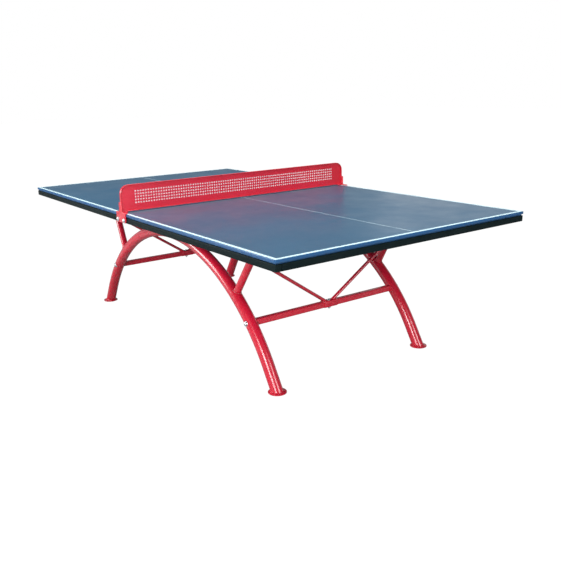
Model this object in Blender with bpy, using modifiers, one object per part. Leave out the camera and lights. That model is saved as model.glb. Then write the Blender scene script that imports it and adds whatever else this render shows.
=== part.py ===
"""Outdoor table tennis table: two half tops on steel frames, two arched tube legs, cross-bars,
struts, V brace rods and a rigid steel net. Metres, +Z up, +X along the table, net in the plane X = 0.
The origin is on the floor, under the middle of the table."""

import math

import bmesh
import bpy
from mathutils import Matrix, Vector

# ---------------------------------------------------------------- driving dimensions
TABLE_LENGTH = 2.740
TABLE_WIDTH = 1.525
TABLE_HEIGHT = 0.760

GAP = 0.0003            # between two pieces that touch
SEAM_GAP = 0.004        # between the two half tops
HOLE_CLEARANCE = 0.0005  # round a bolt, on the radius
BOLT_DOME_STEPS = 3
BOLT_RIM_SHARE = 0.25   # straight rim of a bolt's head, as a share of its height

TOP_THICKNESS = 0.020
TOP_EDGE_RADIUS = 0.003

FRAME_TUBE = 0.030      # square tube of the frame under each half top
FRAME_WALL = 0.002
FRAME_INSET = 0.002     # how far the top overhangs its frame
BEAM_WIDTH = 0.050      # beams along the table, over the arches
BEAM_Y = 0.462
CROSS_RIB_X = 0.700

ARCH_Y = 0.477          # each arch stands in a plane Y = +-ARCH_Y
ARCH_HALF_SPREAD = 0.965  # centre of the tube at floor level
CROWN_CLEARANCE = 0.0652  # from the crown up to the frame
ARCH_TUBE = 0.060
ARCH_WALL = 0.003
LEG_STRAIGHT = 0.123     # unbent end of the tube, from the floor up to the bend
ARCH_POINTS = 29
ARCH_SIDES = 16
ARCH_RUN_ON = 0.050      # tube left below the floor before it is cut flat

FOOT_DIAMETER = 0.090
FOOT_THICKNESS = 0.006
FOOT_CHAMFER = 0.0012

SEAT_LENGTH = 0.180     # folded channel that joins an arch's crown to both half frames
SEAT_WALL = 0.005
SEAT_OVERLAP = 0.007    # how far its sides reach below the tube's centre line
SEAT_SIDE_PLAY = 0.0005

STRUT_TUBE = 0.038
STRUT_WALL = 0.0025
STRUT_FOOT_X = 0.635    # where the strut's centre line leaves the arch's
STRUT_TOP_X = 0.8265
STRUT_TOP_Y = 0.452
STRUT_PLATE_LENGTH = 0.090
STRUT_PLATE_WIDTH = 0.064
STRUT_PLATE_THICKNESS = 0.005

BAR_X = 0.760           # the cross-bar joins the two arches here
BAR_SIZE = 0.030
BAR_WALL = 0.002
BAR_CORNER = 0.003
BAR_END_BLOCK = 0.030

LEG_BOLT_SHANK = 0.010
LEG_BOLT_REACH = 0.022  # thread in the cross-bar's end block
LEG_BOLT_HEAD = 0.022
LEG_BOLT_HEAD_HEIGHT = 0.007

SADDLE_LENGTH = 0.086
SADDLE_Y = 0.0135        # the saddles sit off the middle, towards the back
SADDLE_WALL = 0.003
SADDLE_BOLT_SHANK = 0.008
SADDLE_BOLT_HEAD = 0.019
SADDLE_BOLT_HEAD_HEIGHT = 0.005
SADDLE_BOLT_PROUD = 0.006  # thread showing below the nut
SADDLE_NUT_HEIGHT = 0.008
SADDLE_NUT_WIDTH = 0.021   # across corners

ROD_DIAMETER = 0.018
ROD_SIDES = 10
ROD_FOOT_Y = 0.028      # from the saddle's middle to where a rod's centre line meets its top
ROD_END_DROP = 0.087    # from the strut's top down to the bolt that holds the rod
ROD_RUN_ON = 0.040      # rod left below the saddle's top before it is cut flat
TAB_THICKNESS = 0.005   # flattened end of the rod
TAB_WIDTH = 0.027
TAB_REACH = 0.015       # from the bolt to the end of the tab
TAB_FLAT = 0.018        # from the bolt back to where the taper starts
TAB_TAPER = 0.034
TAB_STAND_OFF = 0.0020
ROD_BOLT_SHANK = 0.008
ROD_BOLT_REACH = 0.028
ROD_BOLT_HEAD = 0.017
ROD_BOLT_HEAD_HEIGHT = 0.0055

BRACKET_LENGTH = 0.112
BRACKET_RAISE = 0.002   # its lower edge, above the frame's
BRACKET_PLATE = 0.005
BRACKET_LIP = 0.010     # inwards over the edge of the playing surface
BRACKET_FLANGE = 0.034  # inwards under the net, as wide as the tongue
BRACKET_CORNER = 0.010
TONGUE_WIDTH = 0.030
TONGUE_RISE = 0.056     # above the playing surface
BRACKET_BOLT_X = 0.037
BRACKET_BOLT_SHANK = 0.008
BRACKET_BOLT_REACH = 0.020
BRACKET_BOLT_HEAD = 0.019
BRACKET_BOLT_HEAD_HEIGHT = 0.008

NET_TOP_ABOVE_TABLE = 0.145
NET_SHEET = 0.002
NET_RIM_THICKNESS = 0.003
NET_RIM_WIDTH = 0.016
NET_TOP_RADIUS = 0.048
NET_BOTTOM_RADIUS = 0.010

# ---------------------------------------------------------------- sizes that follow from them
TOP_UNDERSIDE = TABLE_HEIGHT - TOP_THICKNESS
FRAME_TOP = TOP_UNDERSIDE - GAP
FRAME_BOTTOM = FRAME_TOP - FRAME_TUBE
FRAME_OUTER_X = TABLE_LENGTH / 2 - FRAME_INSET
FRAME_INNER_X = SEAM_GAP / 2 + FRAME_INSET
FRAME_OUTER_Y = TABLE_WIDTH / 2 - FRAME_INSET

ARCH_RISE = FRAME_BOTTOM - CROWN_CLEARANCE - ARCH_TUBE / 2
ARCH_RADIUS = (ARCH_RISE**2 + ARCH_HALF_SPREAD**2 - LEG_STRAIGHT**2) / (2 * ARCH_RISE)
ARCH_CENTRE_Z = ARCH_RISE - ARCH_RADIUS
ARCH_REACH = math.atan2(ARCH_HALF_SPREAD, -ARCH_CENTRE_Z) - math.atan2(LEG_STRAIGHT, ARCH_RADIUS)
FOOT_TOP = FOOT_THICKNESS + GAP
SEAT_BOTTOM = ARCH_RISE - SEAT_OVERLAP

PLATE_TOP = FRAME_BOTTOM - GAP
STRUT_TOP_Z = PLATE_TOP - STRUT_PLATE_THICKNESS - GAP
ROD_END_Z = STRUT_TOP_Z - ROD_END_DROP
BRACKET_BOTTOM = FRAME_BOTTOM + BRACKET_RAISE
FLANGE_BOTTOM = TABLE_HEIGHT + GAP
NET_BOTTOM = FLANGE_BOTTOM + BRACKET_PLATE + GAP
NET_TOP = TABLE_HEIGHT + NET_TOP_ABOVE_TABLE

SIDES = {"left": -1, "right": 1}   # along X
FACES = {"front": -1, "back": 1}   # along Y


def arch_height(x):
    """Height of an arch's centre line: an arc over the middle, and straight legs below it."""
    if abs(x) > ARCH_RADIUS * math.sin(ARCH_REACH):
        return (ARCH_HALF_SPREAD - abs(x)) * math.tan(ARCH_REACH)
    return ARCH_CENTRE_Z + math.sqrt(ARCH_RADIUS**2 - x**2)


# ---------------------------------------------------------------- scene and materials
for old in list(bpy.data.objects):
    bpy.data.objects.remove(old)

parts = bpy.data.collections.new("table_tennis_table")
cutters = bpy.data.collections.new("cutters")
for group in (parts, cutters):
    bpy.context.scene.collection.children.link(group)
cutters.hide_render = True


def make_material(name, colour, roughness, metallic=0.0):
    made = bpy.data.materials.new(name)
    made.use_nodes = True
    shader = made.node_tree.nodes["Principled BSDF"]
    shader.inputs["Base Color"].default_value = (*colour, 1.0)
    shader.inputs["Roughness"].default_value = roughness
    shader.inputs["Metallic"].default_value = metallic
    made.diffuse_color = (*colour, 1.0)
    return made


BLUE_TOP = make_material("blue_top", (0.075, 0.165, 0.270), 0.35)
BLACK_FRAME = make_material("black_frame", (0.018, 0.019, 0.021), 0.45)
RED_PAINT = make_material("red_paint", (0.560, 0.018, 0.045), 0.25)
ZINC = make_material("zinc", (0.700, 0.700, 0.720), 0.30, 1.0)


# ---------------------------------------------------------------- makers of shapes
def add_object(name, mesh, material=None):
    """A part when it has a material, otherwise a cutter that a render leaves out."""
    obj = bpy.data.objects.new(name, mesh)
    if material:
        mesh.materials.append(material)
        parts.objects.link(obj)
    else:
        cutters.objects.link(obj)
        obj.hide_render = True
        obj.display_type = "WIRE"
    return obj


def smooth(obj, angle=math.radians(35)):
    obj.data.shade_smooth()
    obj.data.set_sharp_from_angle(angle=angle)


def box(name, low, high, material=None):
    """A box between two corners."""
    low, high = Vector(low), Vector(high)
    shape = bmesh.new()
    bmesh.ops.create_cube(shape, size=1.0)
    bmesh.ops.scale(shape, vec=high - low, verts=shape.verts)
    mesh = bpy.data.meshes.new(name)
    shape.to_mesh(mesh)
    shape.free()
    obj = add_object(name, mesh, material)
    obj.location = (low + high) / 2
    return obj


def open_box(name, low, high, removed, wall, material):
    """A box without the faces whose normals are in removed, its walls grown inwards."""
    obj = box(name, low, high, material)
    shape = bmesh.new()
    shape.from_mesh(obj.data)
    gone = [face for face in shape.faces if any(face.normal.dot(Vector(way)) > 0.9 for way in removed)]
    bmesh.ops.delete(shape, geom=gone, context="FACES")
    shape.to_mesh(obj.data)
    shape.free()
    add_wall(obj, wall)
    return obj


def add_wall(obj, wall):
    """Gives an open surface a wall, inwards from the outer surface."""
    solidify = obj.modifiers.new("wall", "SOLIDIFY")
    solidify.thickness = wall
    solidify.offset = -1
    solidify.use_even_offset = True


def along(start, end):
    """Placement whose +Z runs from start to end."""
    way = Vector(end) - Vector(start)
    return Matrix.Translation(start) @ way.to_track_quat("Z", "Y").to_matrix().to_4x4()


def round_bar(name, start, end, radius, material=None, sides=20, capped=True):
    """A round bar from start to end. Uncapped, it is an open surface for a tube's wall."""
    length = (Vector(end) - Vector(start)).length
    shape = bmesh.new()
    bmesh.ops.create_cone(
        shape, cap_ends=capped, segments=sides, radius1=radius, radius2=radius, depth=length
    )
    bmesh.ops.translate(shape, verts=shape.verts, vec=(0, 0, length / 2))
    mesh = bpy.data.meshes.new(name)
    shape.to_mesh(mesh)
    shape.free()
    obj = add_object(name, mesh, material)
    obj.matrix_world = along(start, end)
    smooth(obj)
    return obj


def curve_mesh(name, points, radius, sides, capped, material=None):
    """A round bar along a run of points, as a mesh with its caps welded on."""
    curve = bpy.data.curves.new(name + "_curve", "CURVE")
    curve.dimensions = "3D"
    curve.bevel_depth = radius
    curve.bevel_resolution = (sides - 4) // 2
    curve.use_fill_caps = capped
    spline = curve.splines.new("POLY")
    spline.points.add(len(points) - 1)
    for spline_point, point in zip(spline.points, points):
        spline_point.co = (*point, 1.0)
    drawn = bpy.data.objects.new(name + "_curve", curve)
    bpy.context.scene.collection.objects.link(drawn)
    graph = bpy.context.evaluated_depsgraph_get()
    mesh = bpy.data.meshes.new_from_object(drawn.evaluated_get(graph))
    bpy.data.objects.remove(drawn)
    bpy.data.curves.remove(curve)
    shape = bmesh.new()
    shape.from_mesh(mesh)
    bmesh.ops.remove_doubles(shape, verts=shape.verts, dist=0.00001)
    bmesh.ops.recalc_face_normals(shape, faces=shape.faces)
    shape.to_mesh(mesh)
    shape.free()
    mesh.name = name
    mesh.materials.clear()
    obj = add_object(name, mesh, material)
    smooth(obj)
    return obj


def turned(name, profile, place, material):
    """A turned piece: profile is (radius, height) points down its outer side, from top to bottom."""
    mesh = bpy.data.meshes.new(name)
    edges = [(i, i + 1) for i in range(len(profile) - 1)]
    mesh.from_pydata([(radius, 0, height) for radius, height in profile], edges, [])
    obj = add_object(name, mesh, material)
    screw = obj.modifiers.new("turn", "SCREW")
    screw.steps = screw.render_steps = 14
    screw.use_merge_vertices = True
    screw.merge_threshold = 0.00001
    screw.use_smooth_shade = True
    obj.matrix_world = place
    return obj


def bolt(name, seat, way, shank, reach, head, head_height):
    """A domed bolt: its head rests at seat, and its shank runs from there along way."""
    dome = []
    for step in range(BOLT_DOME_STEPS + 1):
        turn = math.radians(90) * step / BOLT_DOME_STEPS
        height = head_height * (BOLT_RIM_SHARE + (1 - BOLT_RIM_SHARE) * math.cos(turn))
        dome.append((head / 2 * math.sin(turn), height))
    shank_radius = shank / 2
    profile = dome + [(head / 2, 0), (shank_radius, 0), (shank_radius, -reach), (0, -reach)]
    return turned(name, profile, along(seat, Vector(seat) - Vector(way)), ZINC)


def outline(name, loops, thickness, material=None):
    """A flat plate in its own XY plane, from closed loops of points; later loops are holes."""
    curve = bpy.data.curves.new(name, "CURVE")
    curve.dimensions = "2D"
    curve.fill_mode = "BOTH"
    curve.extrude = thickness / 2
    for loop in loops:
        spline = curve.splines.new("POLY")
        spline.points.add(len(loop) - 1)
        for spline_point, point in zip(spline.points, loop):
            spline_point.co = (*point, 0, 1)
        spline.use_cyclic_u = True
    return add_object(name, curve, material)


def rounded_rectangle(low, high, bottom_radius, top_radius, steps=6):
    """Corner points of an upright rectangle with rounded corners."""
    corners = (
        (high[0] - bottom_radius, low[1] + bottom_radius, bottom_radius, -90),
        (high[0] - top_radius, high[1] - top_radius, top_radius, 0),
        (low[0] + top_radius, high[1] - top_radius, top_radius, 90),
        (low[0] + bottom_radius, low[1] + bottom_radius, bottom_radius, 180),
    )
    points = []
    for centre_x, centre_y, radius, first in corners:
        for step in range(steps + 1):
            turn = math.radians(first + 90 * step / steps)
            points.append((centre_x + radius * math.cos(turn), centre_y + radius * math.sin(turn)))
    return points


def change(obj, other, operation="DIFFERENCE"):
    boolean = obj.modifiers.new(operation.lower() + "_" + other.name, "BOOLEAN")
    boolean.operation = operation
    boolean.object = other


def drill(obj, name, start, end, bolt_diameter):
    """A clearance hole for a bolt, between two points that lie outside the wall."""
    change(obj, round_bar("drill_" + name, start, end, bolt_diameter / 2 + HOLE_CLEARANCE, sides=12))


# ---------------------------------------------------------------- tops and their frames
def make_top(side, sign):
    near, far = sorted((sign * SEAM_GAP / 2, sign * TABLE_LENGTH / 2))
    top = box(
        "top_panel_" + side,
        (near, -TABLE_WIDTH / 2, TOP_UNDERSIDE),
        (far, TABLE_WIDTH / 2, TABLE_HEIGHT),
        BLUE_TOP,
    )
    bevel = top.modifiers.new("edge", "BEVEL")
    bevel.width = TOP_EDGE_RADIUS
    bevel.segments = 3
    smooth(top)


def frame_tube(name, low_xy, high_xy, open_ends):
    """A rectangular tube of the frame, open at the ends that open_ends points to."""
    low = (min(low_xy[0], high_xy[0]), min(low_xy[1], high_xy[1]), FRAME_BOTTOM)
    high = (max(low_xy[0], high_xy[0]), max(low_xy[1], high_xy[1]), FRAME_TOP)
    return open_box(name, low, high, open_ends, FRAME_WALL, BLACK_FRAME)


def make_frame(side, sign):
    """Side rails run the whole half length, with a plate over the outer end; the rest fit between."""
    between_y = FRAME_OUTER_Y - FRAME_TUBE - GAP
    beam_start_x = FRAME_INNER_X + FRAME_TUBE + GAP
    beam_end_x = FRAME_OUTER_X - FRAME_TUBE - GAP
    rib_y = BEAM_Y - BEAM_WIDTH / 2 - GAP
    across = [(0, -1, 0), (0, 1, 0)]
    for face, turn in FACES.items():
        rail = frame_tube(
            f"frame_side_rail_{side}_{face}",
            (sign * FRAME_INNER_X, turn * (FRAME_OUTER_Y - FRAME_TUBE)),
            (sign * FRAME_OUTER_X, turn * FRAME_OUTER_Y),
            [(-sign, 0, 0)],
        )
        hole_x = sign * BRACKET_BOLT_X
        hole_start = (hole_x, turn * (FRAME_OUTER_Y + FRAME_TUBE / 2), bracket_bolt_z())
        hole_end = (hole_x, turn * (FRAME_OUTER_Y - FRAME_TUBE / 2), bracket_bolt_z())
        drill(rail, rail.name, hole_start, hole_end, BRACKET_BOLT_SHANK)
        frame_tube(
            f"frame_beam_{side}_{face}",
            (sign * beam_start_x, turn * (BEAM_Y - BEAM_WIDTH / 2)),
            (sign * beam_end_x, turn * (BEAM_Y + BEAM_WIDTH / 2)),
            [(-1, 0, 0), (1, 0, 0)],
        )
    frame_tube(
        "frame_end_rail_" + side,
        (sign * (FRAME_OUTER_X - FRAME_TUBE), -between_y),
        (sign * FRAME_OUTER_X, between_y),
        across,
    )
    frame_tube(
        "frame_inner_rail_" + side,
        (sign * FRAME_INNER_X, -between_y),
        (sign * (FRAME_INNER_X + FRAME_TUBE), between_y),
        across,
    )
    frame_tube(
        "frame_cross_rib_" + side,
        (sign * (CROSS_RIB_X - FRAME_TUBE / 2), -rib_y),
        (sign * (CROSS_RIB_X + FRAME_TUBE / 2), rib_y),
        across,
    )


def bracket_bolt_z():
    """Half way up the side rail."""
    return (FRAME_BOTTOM + FRAME_TOP) / 2


# ---------------------------------------------------------------- arches, feet and seats
def arch_points(y):
    """Centre line of an arch, a little past the floor at both ends."""
    below_x = ARCH_HALF_SPREAD + ARCH_RUN_ON * math.cos(ARCH_REACH)
    below_z = -ARCH_RUN_ON * math.sin(ARCH_REACH)
    points = [(-below_x, y, below_z)]
    for step in range(ARCH_POINTS):
        turn = ARCH_REACH * (2 * step / (ARCH_POINTS - 1) - 1)
        height = ARCH_CENTRE_Z + ARCH_RADIUS * math.cos(turn)
        points.append((ARCH_RADIUS * math.sin(turn), y, height))
    points.append((below_x, y, below_z))
    return points


def arch_cutter(face, turn):
    """The room that an arch takes, for pieces that are coped to fit against it."""
    name = "cope_" + face
    return curve_mesh(name, arch_points(turn * ARCH_Y), ARCH_TUBE / 2 + GAP, ARCH_SIDES, True)


def make_arch(face, turn):
    arch = curve_mesh(
        "arch_leg_" + face, arch_points(turn * ARCH_Y), ARCH_TUBE / 2, ARCH_SIDES, False, RED_PAINT
    )
    add_wall(arch, ARCH_WALL)
    low = (-TABLE_LENGTH, -TABLE_WIDTH, -TABLE_HEIGHT)
    high = (TABLE_LENGTH, TABLE_WIDTH, FOOT_TOP)
    change(arch, box("floor_" + face, low, high))
    for side, sign in SIDES.items():
        centre = Vector((sign * BAR_X, turn * ARCH_Y, arch_height(BAR_X)))
        across = Vector((0, ARCH_TUBE, 0))
        drill(arch, f"{arch.name}_{side}", centre - across, centre + across, LEG_BOLT_SHANK)
    return arch


def make_foot(side, sign, face, turn):
    radius = FOOT_DIAMETER / 2
    profile = [
        (0, FOOT_THICKNESS),
        (radius - FOOT_CHAMFER, FOOT_THICKNESS),
        (radius, FOOT_THICKNESS - FOOT_CHAMFER),
        (radius, 0),
        (0, 0),
    ]
    place = Matrix.Translation((sign * ARCH_HALF_SPREAD, turn * ARCH_Y, 0))
    foot = turned(f"foot_plate_{side}_{face}", profile, place, RED_PAINT)
    foot.modifiers["turn"].steps = foot.modifiers["turn"].render_steps = 28


def make_seat(face, turn):
    """A folded channel over the arch's crown, open below and at its ends."""
    half_width = ARCH_TUBE / 2 + SEAT_SIDE_PLAY + SEAT_WALL
    open_box(
        "arch_seat_" + face,
        (-SEAT_LENGTH / 2, turn * ARCH_Y - half_width, SEAT_BOTTOM),
        (SEAT_LENGTH / 2, turn * ARCH_Y + half_width, PLATE_TOP),
        [(1, 0, 0), (-1, 0, 0), (0, 0, -1)],
        SEAT_WALL,
        RED_PAINT,
    )


# ---------------------------------------------------------------- struts and cross-bars
def strut_ends(sign, turn):
    """Centre line of a strut, from the arch's centre line up to the underside of its plate."""
    foot = Vector((sign * STRUT_FOOT_X, turn * ARCH_Y, arch_height(STRUT_FOOT_X)))
    head = Vector((sign * STRUT_TOP_X, turn * STRUT_TOP_Y, STRUT_TOP_Z))
    return foot, head


def make_strut(side, sign, face, turn, cope):
    foot, head = strut_ends(sign, turn)
    run_on = (head - foot).normalized() * STRUT_TUBE
    name = f"strut_{side}_{face}"
    strut = round_bar(name, foot, head + run_on, STRUT_TUBE / 2, RED_PAINT, capped=False)
    add_wall(strut, STRUT_WALL)
    change(strut, cope)
    reach = 3 * STRUT_TUBE
    low = (head.x - reach, head.y - reach, head.z)
    high = (head.x + reach, head.y + reach, head.z + reach)
    change(strut, box("trim_" + name, low, high))
    half = Vector((STRUT_PLATE_LENGTH / 2, STRUT_PLATE_WIDTH / 2, STRUT_PLATE_THICKNESS / 2))
    centre = Vector((head.x, head.y, PLATE_TOP - STRUT_PLATE_THICKNESS / 2))
    box(f"strut_plate_{side}_{face}", centre - half, centre + half, RED_PAINT)
    return strut


def make_cross_bar(side, sign, copes):
    """A square tube between the arches, with a threaded block in each end."""
    name = "cross_bar_" + side
    height = arch_height(BAR_X)
    centre = Vector((sign * BAR_X, 0, height))
    half = Vector((BAR_SIZE / 2, ARCH_Y, BAR_SIZE / 2))
    bar = box(name, centre - half, centre + half, RED_PAINT)
    bevel = bar.modifiers.new("corners", "BEVEL")
    bevel.width = BAR_CORNER
    bevel.segments = 2
    for cope in copes:
        change(bar, cope)
    cavity = BAR_SIZE / 2 - BAR_WALL
    cavity_half = Vector((cavity, ARCH_Y - ARCH_TUBE / 2 - BAR_END_BLOCK, cavity))
    change(bar, box("cavity_" + name, centre - cavity_half, centre + cavity_half))
    for face, turn in FACES.items():
        outside = centre + Vector((0, turn * ARCH_Y, 0))
        inside = centre + Vector((0, turn * (ARCH_Y - ARCH_TUBE / 2 - 2 * BAR_END_BLOCK), 0))
        drill(bar, f"{name}_{face}", outside, inside, LEG_BOLT_SHANK)
    under_saddle = centre + Vector((0, SADDLE_Y, 0))
    up = Vector((0, 0, BAR_SIZE))
    drill(bar, name + "_saddle", under_saddle - up, under_saddle + up, SADDLE_BOLT_SHANK)
    smooth(bar)


def make_leg_bolt(side, sign, face, turn):
    seat = (sign * BAR_X, turn * (ARCH_Y + ARCH_TUBE / 2 + GAP), arch_height(BAR_X))
    reach = ARCH_TUBE + 2 * GAP + LEG_BOLT_REACH
    name = f"leg_bolt_{side}_{face}"
    bolt(name, seat, (0, -turn, 0), LEG_BOLT_SHANK, reach, LEG_BOLT_HEAD, LEG_BOLT_HEAD_HEIGHT)


# ---------------------------------------------------------------- saddles and V brace rods
SADDLE_TOP = arch_height(BAR_X) + BAR_SIZE / 2 + GAP + SADDLE_WALL


def make_saddle(side, sign):
    """A folded channel over the middle of the cross-bar, with the bolt and nut that hold it."""
    centre_x = sign * BAR_X
    half_width = BAR_SIZE / 2 + GAP + SADDLE_WALL
    bar_bottom = arch_height(BAR_X) - BAR_SIZE / 2
    name = "brace_saddle_" + side
    saddle = open_box(
        name,
        (centre_x - half_width, SADDLE_Y - SADDLE_LENGTH / 2, bar_bottom),
        (centre_x + half_width, SADDLE_Y + SADDLE_LENGTH / 2, SADDLE_TOP),
        [(0, 1, 0), (0, -1, 0), (0, 0, -1)],
        SADDLE_WALL,
        RED_PAINT,
    )
    middle = Vector((centre_x, SADDLE_Y, SADDLE_TOP))
    up = Vector((0, 0, 3 * SADDLE_WALL))
    drill(saddle, name, middle - up, middle + up, SADDLE_BOLT_SHANK)

    head_seat = Vector((centre_x, SADDLE_Y, SADDLE_TOP + GAP))
    nut_top = Vector((centre_x, SADDLE_Y, bar_bottom - GAP))
    nut_height = Vector((0, 0, SADDLE_NUT_HEIGHT))
    reach = head_seat.z - nut_top.z + SADDLE_NUT_HEIGHT + SADDLE_BOLT_PROUD
    bolt(
        "saddle_bolt_" + side,
        head_seat,
        (0, 0, -1),
        SADDLE_BOLT_SHANK,
        reach,
        SADDLE_BOLT_HEAD,
        SADDLE_BOLT_HEAD_HEIGHT,
    )
    nut = round_bar(
        "saddle_nut_" + side, nut_top - nut_height, nut_top, SADDLE_NUT_WIDTH / 2, ZINC, sides=6
    )
    drill(nut, nut.name, nut_top - 2 * nut_height, nut_top + nut_height, SADDLE_BOLT_SHANK)


def rod_line(sign, turn):
    """Where a rod starts and is bolted, its direction, and the way its flat end faces."""
    foot, head = strut_ends(sign, turn)
    strut_way = (head - foot).normalized()
    held = foot + strut_way * ((ROD_END_Z - foot.z) / strut_way.z)
    start = Vector((sign * BAR_X, SADDLE_Y + turn * ROD_FOOT_Y, SADDLE_TOP))
    outwards = Vector((sign * strut_way.z, 0, -abs(strut_way.x))).normalized()
    facing = outwards
    for _ in range(3):
        end = held + facing * (STRUT_TUBE / 2 + TAB_STAND_OFF + TAB_THICKNESS / 2)
        way = (end - start).normalized()
        facing = (outwards - way * outwards.dot(way)).normalized()
    return start, end, way, facing


def make_rod(side, sign, face, turn, strut):
    """A round rod, cut flat on the saddle and pressed flat where it is bolted to the strut."""
    start, end, way, facing = rod_line(sign, turn)
    first, last = start - way * ROD_RUN_ON, end + way * TAB_REACH
    length = (last - first).length
    taper_steps = 6
    stations = [0.0]
    for step in range(taper_steps + 1):
        stations.append(length - TAB_REACH - TAB_FLAT - TAB_TAPER * (1 - step / taper_steps))
    stations.append(length)
    name = f"brace_rod_{side}_{face}"
    points = [first + way * station for station in stations]
    rod = curve_mesh(name, points, ROD_DIAMETER / 2, ROD_SIDES, True, RED_PAINT)
    across = way.cross(facing)
    for vertex in rod.data.vertices:
        from_first = vertex.co - first
        station = from_first.dot(way)
        share = (station - stations[1]) / TAB_TAPER
        share = min(max(share, 0.0), 1.0)
        share = share * share * (3 - 2 * share)
        thin = 1 + share * (TAB_THICKNESS / ROD_DIAMETER - 1)
        wide = 1 + share * (TAB_WIDTH / ROD_DIAMETER - 1)
        thickness_part = facing * from_first.dot(facing) * thin
        width_part = across * from_first.dot(across) * wide
        vertex.co = first + way * station + thickness_part + width_part
    reach = 2 * ROD_RUN_ON
    low = (start.x - reach, start.y - reach, SADDLE_TOP - reach)
    high = (start.x + reach, start.y + reach, SADDLE_TOP + GAP)
    change(rod, box("trim_" + name, low, high))

    seat = end + facing * (TAB_THICKNESS / 2 + GAP)
    hole_end = seat - facing * (STRUT_TUBE / 2 + TAB_THICKNESS)
    for piece in (rod, strut):
        drill(piece, f"{piece.name}_bolt", seat + facing * STRUT_TUBE, hole_end, ROD_BOLT_SHANK)
    bolt(
        f"brace_bolt_{side}_{face}",
        seat,
        -facing,
        ROD_BOLT_SHANK,
        ROD_BOLT_REACH,
        ROD_BOLT_HEAD,
        ROD_BOLT_HEAD_HEIGHT,
    )


# ---------------------------------------------------------------- net and its brackets
UPRIGHT_ACROSS = Matrix.Rotation(math.radians(90), 4, "Z") @ Matrix.Rotation(math.radians(90), 4, "X")


def make_net():
    """A sheet inside a rim of flat bar, both in the plane X = 0, as wide as the table."""
    half = TABLE_WIDTH / 2
    outer = rounded_rectangle((-half, NET_BOTTOM), (half, NET_TOP), NET_BOTTOM_RADIUS, NET_TOP_RADIUS)

    def inset(distance):
        low = (-half + distance, NET_BOTTOM + distance)
        high = (half - distance, NET_TOP - distance)
        return rounded_rectangle(low, high, NET_BOTTOM_RADIUS - distance, NET_TOP_RADIUS - distance)

    rim = outline("net_rim", [outer, inset(NET_RIM_THICKNESS)], NET_RIM_WIDTH, RED_PAINT)
    sheet = outline("net_panel", [inset(NET_RIM_THICKNESS + GAP)], NET_SHEET, RED_PAINT)
    for piece in (rim, sheet):
        piece.matrix_world = UPRIGHT_ACROSS


def make_bracket(face, turn):
    """A plate on the table's edge, with a lip over the top, a flange under the net and a tongue."""
    inner = TABLE_WIDTH / 2 + GAP
    outer = inner + BRACKET_PLATE
    half = BRACKET_LENGTH / 2
    flange_top = FLANGE_BOTTOM + BRACKET_PLATE
    name = "net_bracket_" + face
    bracket = box(
        name,
        (-half, min(turn * inner, turn * outer), BRACKET_BOTTOM),
        (half, max(turn * inner, turn * outer), flange_top),
        RED_PAINT,
    )
    shape = bmesh.new()
    shape.from_mesh(bracket.data)
    corners = [
        edge
        for edge in shape.edges
        if all(vertex.co.z < 0 for vertex in edge.verts) and edge.verts[0].co.x * edge.verts[1].co.x > 0
    ]
    bmesh.ops.bevel(
        shape, geom=corners, offset=BRACKET_CORNER, segments=4, profile=0.5, affect="EDGES"
    )
    shape.to_mesh(bracket.data)
    shape.free()
    overlap = BRACKET_PLATE / 2
    for part, half_width, depth in (
        ("lip", half, BRACKET_LIP),
        ("flange", TONGUE_WIDTH / 2, BRACKET_FLANGE),
    ):
        ends = (turn * (TABLE_WIDTH / 2 - depth), turn * (inner + overlap))
        over_top = box(
            f"{part}_{face}",
            (-half_width, min(ends), FLANGE_BOTTOM),
            (half_width, max(ends), flange_top),
        )
        change(bracket, over_top, "UNION")
    tongue = box(
        "tongue_" + face,
        (-TONGUE_WIDTH / 2, min(turn * inner, turn * outer), TABLE_HEIGHT - BRACKET_PLATE),
        (TONGUE_WIDTH / 2, max(turn * inner, turn * outer), TABLE_HEIGHT + TONGUE_RISE),
    )
    change(bracket, tongue, "UNION")
    for side, sign in SIDES.items():
        hole_x = sign * BRACKET_BOLT_X
        hole_start = (hole_x, turn * (inner - BRACKET_PLATE), bracket_bolt_z())
        hole_end = (hole_x, turn * (outer + BRACKET_PLATE), bracket_bolt_z())
        drill(bracket, f"{name}_{side}", hole_start, hole_end, BRACKET_BOLT_SHANK)
        bolt(
            f"bracket_bolt_{side}_{face}",
            (hole_x, turn * (outer + GAP), bracket_bolt_z()),
            (0, -turn, 0),
            BRACKET_BOLT_SHANK,
            BRACKET_BOLT_REACH,
            BRACKET_BOLT_HEAD,
            BRACKET_BOLT_HEAD_HEIGHT,
        )


# ---------------------------------------------------------------- assembly
for side_name, side_sign in SIDES.items():
    make_top(side_name, side_sign)
    make_frame(side_name, side_sign)

cope_for = {face_name: arch_cutter(face_name, face_turn) for face_name, face_turn in FACES.items()}
for face_name, face_turn in FACES.items():
    make_arch(face_name, face_turn)
    make_seat(face_name, face_turn)
    make_bracket(face_name, face_turn)

for side_name, side_sign in SIDES.items():
    make_cross_bar(side_name, side_sign, cope_for.values())
    make_saddle(side_name, side_sign)
    for face_name, face_turn in FACES.items():
        make_foot(side_name, side_sign, face_name, face_turn)
        make_leg_bolt(side_name, side_sign, face_name, face_turn)
        made_strut = make_strut(side_name, side_sign, face_name, face_turn, cope_for[face_name])
        make_rod(side_name, side_sign, face_name, face_turn, made_strut)

make_net()
bpy.context.view_layer.update()
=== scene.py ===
# %% [markdown]
# # An outdoor table tennis table
# This lesson dresses a finished frame. The frame holds every part of the table at its real size:
# the two half tops, the steel frames under them, two arched legs, cross-bars, braces and the net.
# Each cell takes one part, says what it is on a real table, and models it again with a maker's care.

# %% Load the frame
import math

import bmesh
import bpy
from mathutils import Matrix, Vector


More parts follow.
